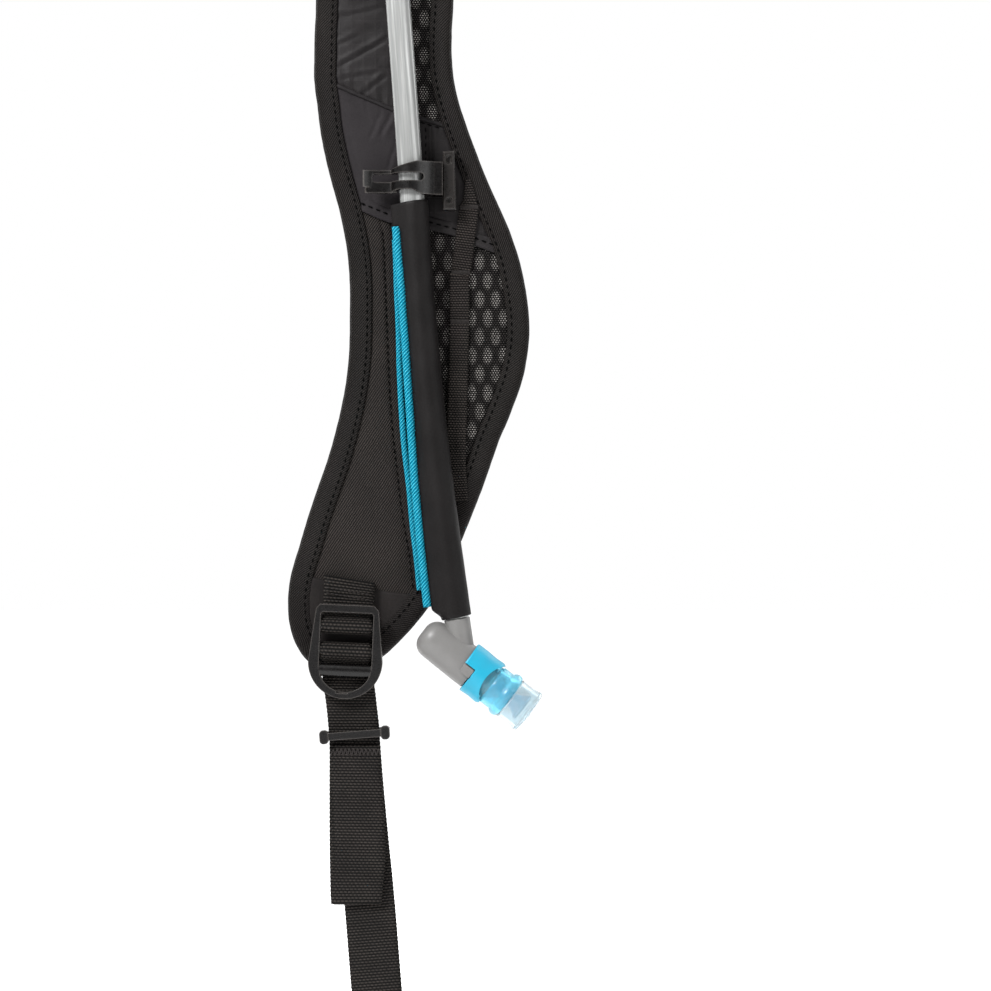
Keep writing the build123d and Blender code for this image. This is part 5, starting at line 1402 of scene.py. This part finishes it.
# ------------------------------------------------------------------ anchor wedge, folded fabric with padding
AW = [(-12.0, 414.0), (13.0, 411.6), (27.0, 447.0), (-21.0, 452.0)]
gw = coons([AW[0], AW[1]], [AW[3], AW[2]], [AW[0], AW[3]], [AW[1], AW[2]], 44, 40)
fr_, bk_, uv_ = [], [], []
for i in range(40):
    a, b, c = [], [], []
    for j in range(44):
        x, d = gw[i, j]
        l, r, t, bo = [min(q) for q in ([x - (AW[0][0] + (d - 412) * -0.24)], [(AW[1][0] + (d - 412) * 0.39) - x], [max(0.0, d - 412.0)], [max(0.0, 450 - d)])]
        m = max(0.0, min(l, r, t, bo))
        puff = 0.9 + 1.35 * smooth(m / 4.0)
        ripple = 0.22 * n3(x * 0.16, d * 0.12, 51.0)
        a.append(P(x, d, 6.95 + min(2.35, puff + ripple)))
        b.append(P(x, d, 6.95 - min(2.35, puff - ripple)))
        c.append((x, -d, 0.0))
    fr_.append(a)
    bk_.append(b)
    uv_.append(c)
wedge = shell("anchor_wedge", fr_, bk_, uv_, M["twill"])
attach(wedge, "webbing")
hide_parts("anchor_tab")
sew("anchor_stitches", [[(x, 417.2 - 0.096 * x, 9.25) for x in np.arange(-11.5, 12.6, 0.8)], [(x, 422.0 - 0.096 * x, 9.4) for x in np.arange(-12.6, 14.4, 0.8)],
                        [(x, 446.0 - 0.1 * x, 9.35) for x in np.arange(-18.5, 24.0, 0.8)]], "thread", body="webbing", spacing=2.6, length=1.8, r=0.25)

# ------------------------------------------------------------------ yoke seam allowance
rows_ = []
fr_, bk_, uv_ = [], [], []
for d in np.linspace(D_YOKE - 18.0, D_YOKE + 1.0, 22):
    a, b, c = [], [], []
    for x in np.linspace(-25, 25, 50):
        e = 0.18 * n3(x * 0.14, d * 0.2, 61.0)
        a.append(P(x + (0.25 * n3(d * 0.5, 3.0) if abs(x) > 24 else 0), d + (0.2 * n3(x * 0.6, 9.0) if d < D_YOKE - 17 else 0), 1.0 + e))
        b.append(P(x, d, -1.0 + e))
        c.append((x, -d, 0.0))
    fr_.append(a)
    bk_.append(b)
    uv_.append(c)
tongue = shell("yoke_seam_allowance", fr_, bk_, uv_, M["plain"])
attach(tongue, "strap")
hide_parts("yoke_tongue")
rings, U = [], []
for dd, k in ((2.4, 0.985), (1.6, 1.0), (0.6, 1.015), (-0.2, 1.02), (-1.0, 1.01), (-1.6, 0.96), (-1.9, 0.86), (-1.95, 0.4)):
    ring = []
    for w in np.linspace(0, 2 * math.pi, 72, endpoint=False):
        cx, cy = math.cos(w), math.sin(w)
        x = 26.7 * math.copysign(abs(cx) ** 0.22, cx) * (k if abs(k) > 0.9 else 0.97 * k)
        n = 4.55 * math.copysign(abs(cy) ** 0.5, cy) * k
        ring.append(P(x, D_YOKE + dd, n + 0.08 * n3(x * 0.3, n, dd)))
        U.append((x + n, dd, 0.0))
    rings.append(ring)
V, F = tube_rings(rings)
endcap = fix_normals(mesh("yoke_end_tape", V, F, M["binding"], U))
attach(endcap, "strap")
sew("yoke_stitches", [[(x, D_YOKE - 6.0, 1.25) for x in np.arange(-23.5, 23.6, 0.8)], [(x, D_YOKE - 11.0, 1.25) for x in np.arange(-23.5, 23.6, 0.8)]], "thread", spacing=2.8, length=1.9, r=0.22)

# ------------------------------------------------------------------ CAD pieces that stay: edges eased, materials
def dress(node, mat, bevel=0.25, segs=3, angle=32):
    o = NODES[node]
    o.data.materials.clear()
    o.data.materials.append(mat)
    w = o.modifiers.new("weld", "WELD")
    w.merge_threshold = 0.00001
    if bevel:
        b = o.modifiers.new("bevel", "BEVEL")
        b.width = bevel * S
        b.segments = segs
        b.limit_method = "ANGLE"
        b.angle_limit = angle * RAD
        b.harden_normals = False
    o.data.polygons.foreach_set("use_smooth", [True] * len(o.data.polygons))
    n = o.modifiers.new("facets", "WEIGHTED_NORMAL")
    n.keep_sharp = False
    return o


dress("hose_clip", M["clip"], 0.5)
dress("clip_spine", M["spine"], 0.3)
dress("ladder_buckle", M["black"], 0.95, 4)
dress("keeper", M["black"], 0.6, 4)
dress("elbow_body", M["grey"], 0.4)
dress("lock_collar", M["cyan"], 0.3)
dress("bite_barrel", M["blue_clear"], 0.2)
dress("bite_tip", M["silicone"], 0.2)
dress("valve_plug", M["blue"], 0.15)
dress("coupling_body", M["grey"], 0.35)
dress("coupling_button", M["cyan"], 0.2)
dress("button_spring", M["magnet"], 0.0)
dress("seal_ring", M["rubber"], 0.0)
dress("dock_magnet_upper", M["magnet"], 0.1)
dress("dock_magnet_lower", M["magnet"], 0.1)
dress("foam_core", M["foam"], 0.0)
